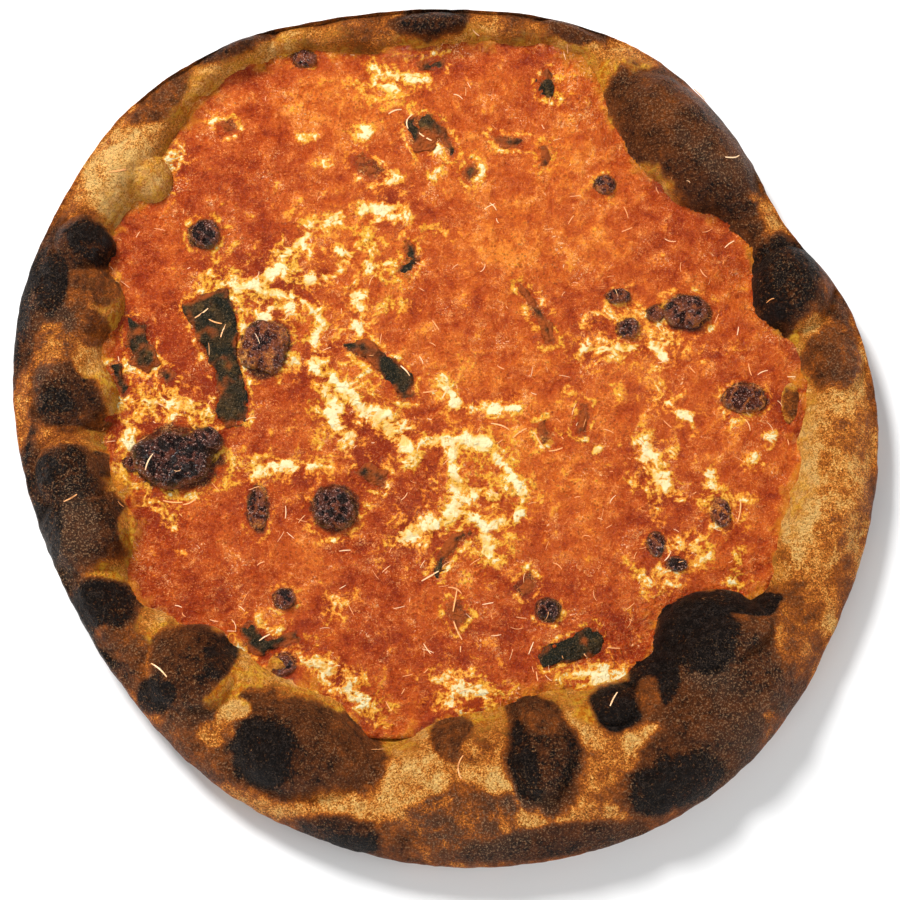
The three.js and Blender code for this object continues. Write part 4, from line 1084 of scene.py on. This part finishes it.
saucePiece = layer("sauceLayer", sauce["box"], sauce["spacing"], sauceDepth, sauceSurface,
                   under=sauce["under"])


def paintMelt(piece, extra=0.0):
    points = readPoints(piece) / mm
    x, y = points[:, 0], points[:, 1]
    tone = 0.5 + 0.16 * rough(x, y, 26, 111, 3)
    for at, size, shift in sauce["tones"]:
        tone = tone + shift * np.exp(-ellipse(x, y, at, size) ** 2)
    offset = sauce["creep"] - sauceDepth(x, y)
    milk = np.zeros_like(x)
    ragged, patchy = 1.4 * rough(x, y, 6, 112, 3), 0.45 * rough(x, y, 6, 113, 3)
    small, leafy = 0.12 * rough(x, y, 3, 114, 2), 0.8 * rough(x, y, 4, 115, 2)
    for name, strokes in [*mozzarella["webs"].items(), ("threads", mozzarella["threads"])]:
        depth = meltDepth(x, y, strokes, 0.75) + 0.9 * ragged
        core = mozzarella["yellowed"].get(name, mozzarella["creamy"]) * smoothStep(-1.5, 0.6, depth)
        milk = np.maximum(milk, np.maximum(core, 0.48 * np.exp(-np.clip(-depth, 0, None) / 6.0)))
    for at, size, strength in sauce["milky"]:
        edge = ellipse(x, y, at, size) + patchy
        milk = np.maximum(milk, strength * smoothStep(1.35, 0.3, edge) * 1.08)
    milk = milk + extra
    scorch = np.zeros_like(x)
    for at, size, top, baked in blister["list"]:
        edge = ellipse(x, y, at, size) + small
        scorch = np.maximum(scorch, 0.8 * smoothStep(1.4, 1.0, edge))
        milk = np.maximum(milk, (0.36 + 0.2 * patchy) * np.exp(-((edge - 1.4) / 0.25) ** 2))
    for outline in basil["outlines"]:
        depth = insideDepth(x, y, outline) + leafy
        milk = np.where(depth > 0, milk * 0.4, np.maximum(milk, 0.44 * np.exp(-((depth + 1.6) / 1.4) ** 2)))
        scorch = np.maximum(scorch, 0.62 * smoothStep(-2.0, 0.6, depth))
    paint(piece, "tone", tone)
    paint(piece, "milk", milk)
    paint(piece, "scorch", scorch)
    paint(piece, "fringe", 0.78 * smoothStep(-9, 2.5, offset + 3.5 * rough(x, y, 9, 116, 3)))


paintMelt(saucePiece)
finishPiece(saucePiece, ["sauce"], sauceMaterial)
print("sauce made", len(saucePiece.data.polygons))


def makeWeb(name, strokes):
    box = boxAround([point for half, path in strokes for point in path], 6)

    def depth(x, y):
        ragged = 1.5 * rough(x, y, 4.6, 121, 4) + 1.3 * rough(x, y, 11, 122, 2)
        return meltDepth(x, y, strokes, 0.8) + ragged

    def top(x, y):
        inside = np.clip(depth(x, y), 0, None)
        return sauceSurface(x, y) - 0.2 + 0.55 * (1 - np.exp(-inside / 1.2)) + 0.12 * rough(x, y, 3, 123, 2)

    piece = layer("mozzarella_" + name, box, mozzarella["spacing"], depth, top,
                  thickness=mozzarella["thickness"])
    paintMelt(piece, extra=0.02)
    return piece


for name, strokes in mozzarella["webs"].items():
    finishPiece(makeWeb(name, strokes), ["mozzarella_" + name], cheeseMaterial)
print("mozzarella made")


def makeLeaf(number, outline, buried):
    def depth(x, y):
        return insideDepth(x, y, outline) + 1.2 * rough(x, y, 4.5, 80 + number, 3)

    def top(x, y):
        deep = insideDepth(x, y, outline)
        fold = basil["fold"] * np.maximum(0, swell(x, y, basil["foldWave"], number - 1))
        fold = fold * smoothStep(-0.5, 2.5, deep) * (1 - buried)
        veins = np.clip(1 - 2.4 * np.abs(rough(x, y, 6, 91, 2)), -0.5, 1)
        crinkle = 0.45 * rough(x, y, 3.6, 90, 3) + 0.3 * veins
        sunk = (0.35 + 0.9 * buried) * smoothStep(2.2, -0.4, deep)
        return sauceSurface(x, y) + basil["lift"] * (1.1 - buried) + fold + crinkle - sunk

    piece = layer("basilLeaf_%02d" % number, boxAround(outline, 2), basil["spacing"], depth, top,
                  thickness=basil["thickness"])
    points = readPoints(piece) / mm
    edge = smoothStep(2.2, 0, insideDepth(points[:, 0], points[:, 1], outline))
    paint(piece, "stain", buried + 0.3 * edge + 0.34 * rough(points[:, 0], points[:, 1], 6, 95, 3))
    return piece


for number, (outline, buried) in enumerate(zip(basil["outlines"], basil["buried"]), 1):
    finishPiece(makeLeaf(number, outline, buried), ["basil_leaf_%02d" % number], leafMaterial)
print("basil made")

# grated hard cheese: one bent shred, copied, each copy turned and sized
grated = {
    "seed": 12,
    "scattered": 240,
    "lengths": (1.0, 4.6),  # of the scattered shreds, with their widths
    "thin": (0.22, 0.5),
    "thick": 0.62,  # width of the placed ones
    "flat": 0.35,  # thickness as a share of the width
    "bend": 0.28,
    "above": 0.10,  # height of their middles over what they lie on
    "placed": [  # place, length, turn in degrees
        ((-18, 117), 6, 20), ((-12.4, 113), 7, 75), ((-6.9, 107), 7, -35), ((-1.4, 101), 6, 50),
        ((-87, 38.6), 7, 40), ((-82, 35.6), 6, -20), ((-79, 32), 6, 70), ((-13.7, 17), 6, -50),
        ((-4.8, 9.6), 6, 10), ((0.5, 8.8), 5, 60), ((20, -3.3), 8, -20), ((27, -5.8), 7, 35),
        ((34, -8.8), 8, -60), ((39.6, -11.7), 6, 15), ((4, -65.7), 9, 80), ((5, -76), 8, -65),
        ((6.3, -123.6), 9, 85), ((-4.6, -57), 8, 30), ((4, -62), 6, -25), ((-95, -91.6), 9, -40),
        ((-128, -32.2), 6, 30), ((94, 121.4), 7, -50), ((103.7, 93.2), 7, 20), ((-103, -17.8), 8, 65),
        ((-95, -30.4), 8, -5), ((-89, -30.4), 6, 25), ((103.5, -34), 9, 80), ((-117.6, 89.3), 7, 10),
        ((-61.5, -78.5), 5, 35), ((57, -101), 7, 60),
    ],
}


def makeShred():
    deselectAll()
    bpy.ops.mesh.primitive_grid_add(x_subdivisions=9, y_subdivisions=1, size=1)
    shred = bpy.context.active_object
    solid = shred.modifiers.new("solid", "SOLIDIFY")
    solid.thickness = grated["flat"]
    solid.offset = 0
    bpy.ops.object.modifier_apply(modifier=solid.name)
    points = readPoints(shred)
    taper = 1 - 1.1 * points[:, 0] ** 2
    points[:, 1] = points[:, 1] * 0.55 * taper + 0.12 * (0.25 - points[:, 0] ** 2) * 4
    points[:, 2] *= taper
    writePoints(shred, points)
    return shred


def groundAt(x, y):
    ground = sauceSurface(x, y)
    for number, (outline, buried) in enumerate(zip(basil["outlines"], basil["buried"])):
        fold = basil["fold"] * np.maximum(0, swell(x, y, basil["foldWave"], number))
        top = ground + basil["lift"] + fold * (1 - buried)
        ground = np.where(insideDepth(x, y, outline) > 0, top, ground)
    for at, size, top, baked in blister["list"]:
        distance = ellipse(x, y, at, size)
        dome = blister["level"] + (top - blister["level"]) * np.sqrt(np.clip(1 - distance ** 2, 0, 1)) ** 0.8
        ground = np.where(distance < 1, np.maximum(ground, dome), ground)
    onRim = sauceDepth(x, y) < sauce["creep"]
    return np.where(onRim, np.maximum(crustTop(x, y), ground), ground)


def makeGrated():
    shred = makeShred()
    base = readPoints(shred)
    faces = [tuple(face.vertices) for face in shred.data.polygons]
    bpy.data.objects.remove(shred)
    draw = np.random.default_rng(grated["seed"])
    rows = [(at, 0.85 * length, turn, grated["thick"]) for at, length, turn in grated["placed"]]
    while len(rows) < len(grated["placed"]) + grated["scattered"]:
        angle, reach = draw.uniform(0, 2 * math.pi), math.sqrt(draw.uniform(0, 1))
        radius = reach * (float(radiusAt(form["sauceEdge"], np.array([angle]))[0]) + 4)
        place = (radius * math.cos(angle), radius * math.sin(angle))
        length, turn = draw.uniform(*grated["lengths"]), draw.uniform(0, 360)
        rows.append((place, length, turn, draw.uniform(*grated["thin"])))
    every, allFaces, melts = [], [], []
    for at, length, turn, thick in rows:
        c, s = math.cos(math.radians(turn)), math.sin(math.radians(turn))
        bend = draw.normal(0, grated["bend"]) * length * (0.25 - base[:, 0] ** 2)
        along, across = base[:, 0] * length, base[:, 1] * thick * (1 + 0.06 * length) + bend
        x, y = at[0] + along * c - across * s, at[1] + along * s + across * c
        allFaces += [tuple(k + len(every) * len(base) for k in face) for face in faces]
        every.append(np.column_stack([x, y, grated["above"] + base[:, 2] * thick]))
        melts.append(np.full(len(base), draw.uniform(0.0, 0.7)))
    points = np.concatenate(every)
    points[:, 2] += groundAt(points[:, 0], points[:, 1])
    mesh = bpy.data.meshes.new("gratedCheese")
    mesh.from_pydata((points * mm).tolist(), [], allFaces)
    piece = bpy.data.objects.new("gratedCheese", mesh)
    bpy.context.collection.objects.link(piece)
    paint(piece, "melt", np.concatenate(melts))
    return piece


finishPiece(makeGrated(), ["sauce"], gratedMaterial)
print("grated cheese made")

# floor, light and camera, in metres and watts
studio = {
    "floorColour": (0.86, 0.86, 0.86),
    "worldLight": 0.28,
    "lights": {  # place, width, power
        "key": ((-0.62, 0.86, 1.0), 0.45, 32),
        "fillRight": ((1.2, -0.35, 0.75), 0.9, 8.5),
        "fillNear": ((-0.75, -1.1, 0.75), 0.9, 8.5),
    },
    "lens": 72.727,
    "cameraPlace": (0.0022987, -0.1672222, 0.6289893),
    "cameraTilt": 14,
}

deselectAll()
bpy.ops.mesh.primitive_plane_add(size=6, location=(0, 0, -0.0002))
floor = bpy.context.active_object
floor.name = "floor"
floor.data.materials.append(finishMaterial(startMaterial("paleFloor")[0], studio["floorColour"], 0.9, 0.5))


def addLight(name, place, size, energy):
    data = bpy.data.lights.new(name, "AREA")
    data.shape = "DISK"
    data.size = size
    data.energy = energy
    light = bpy.data.objects.new(name, data)
    light.location = place
    aim = np.array([0, 0, 0.01]) - np.array(place)
    pitch = math.atan2(math.hypot(aim[0], aim[1]), -aim[2])
    light.rotation_euler = (pitch, 0, math.atan2(-aim[0], aim[1]))
    bpy.context.collection.objects.link(light)


for name, settings in studio["lights"].items():
    addLight(name, *settings)

world = bpy.data.worlds.new("studioAir")
bpy.context.scene.world = world
world.use_nodes = True
background = world.node_tree.nodes["Background"].inputs
background["Color"].default_value = (1, 1, 1, 1)
background["Strength"].default_value = studio["worldLight"]
bpy.context.scene.view_settings.view_transform = "Standard"

cameraData = bpy.data.cameras.new("camera")
cameraData.lens = studio["lens"]
cameraData.sensor_width = 36
cameraData.clip_start = 0.01
camera = bpy.data.objects.new("camera", cameraData)
camera.location = studio["cameraPlace"]
camera.rotation_euler = (math.radians(studio["cameraTilt"]), 0, 0)
bpy.context.collection.objects.link(camera)
bpy.context.scene.camera = camera
print("stage set")
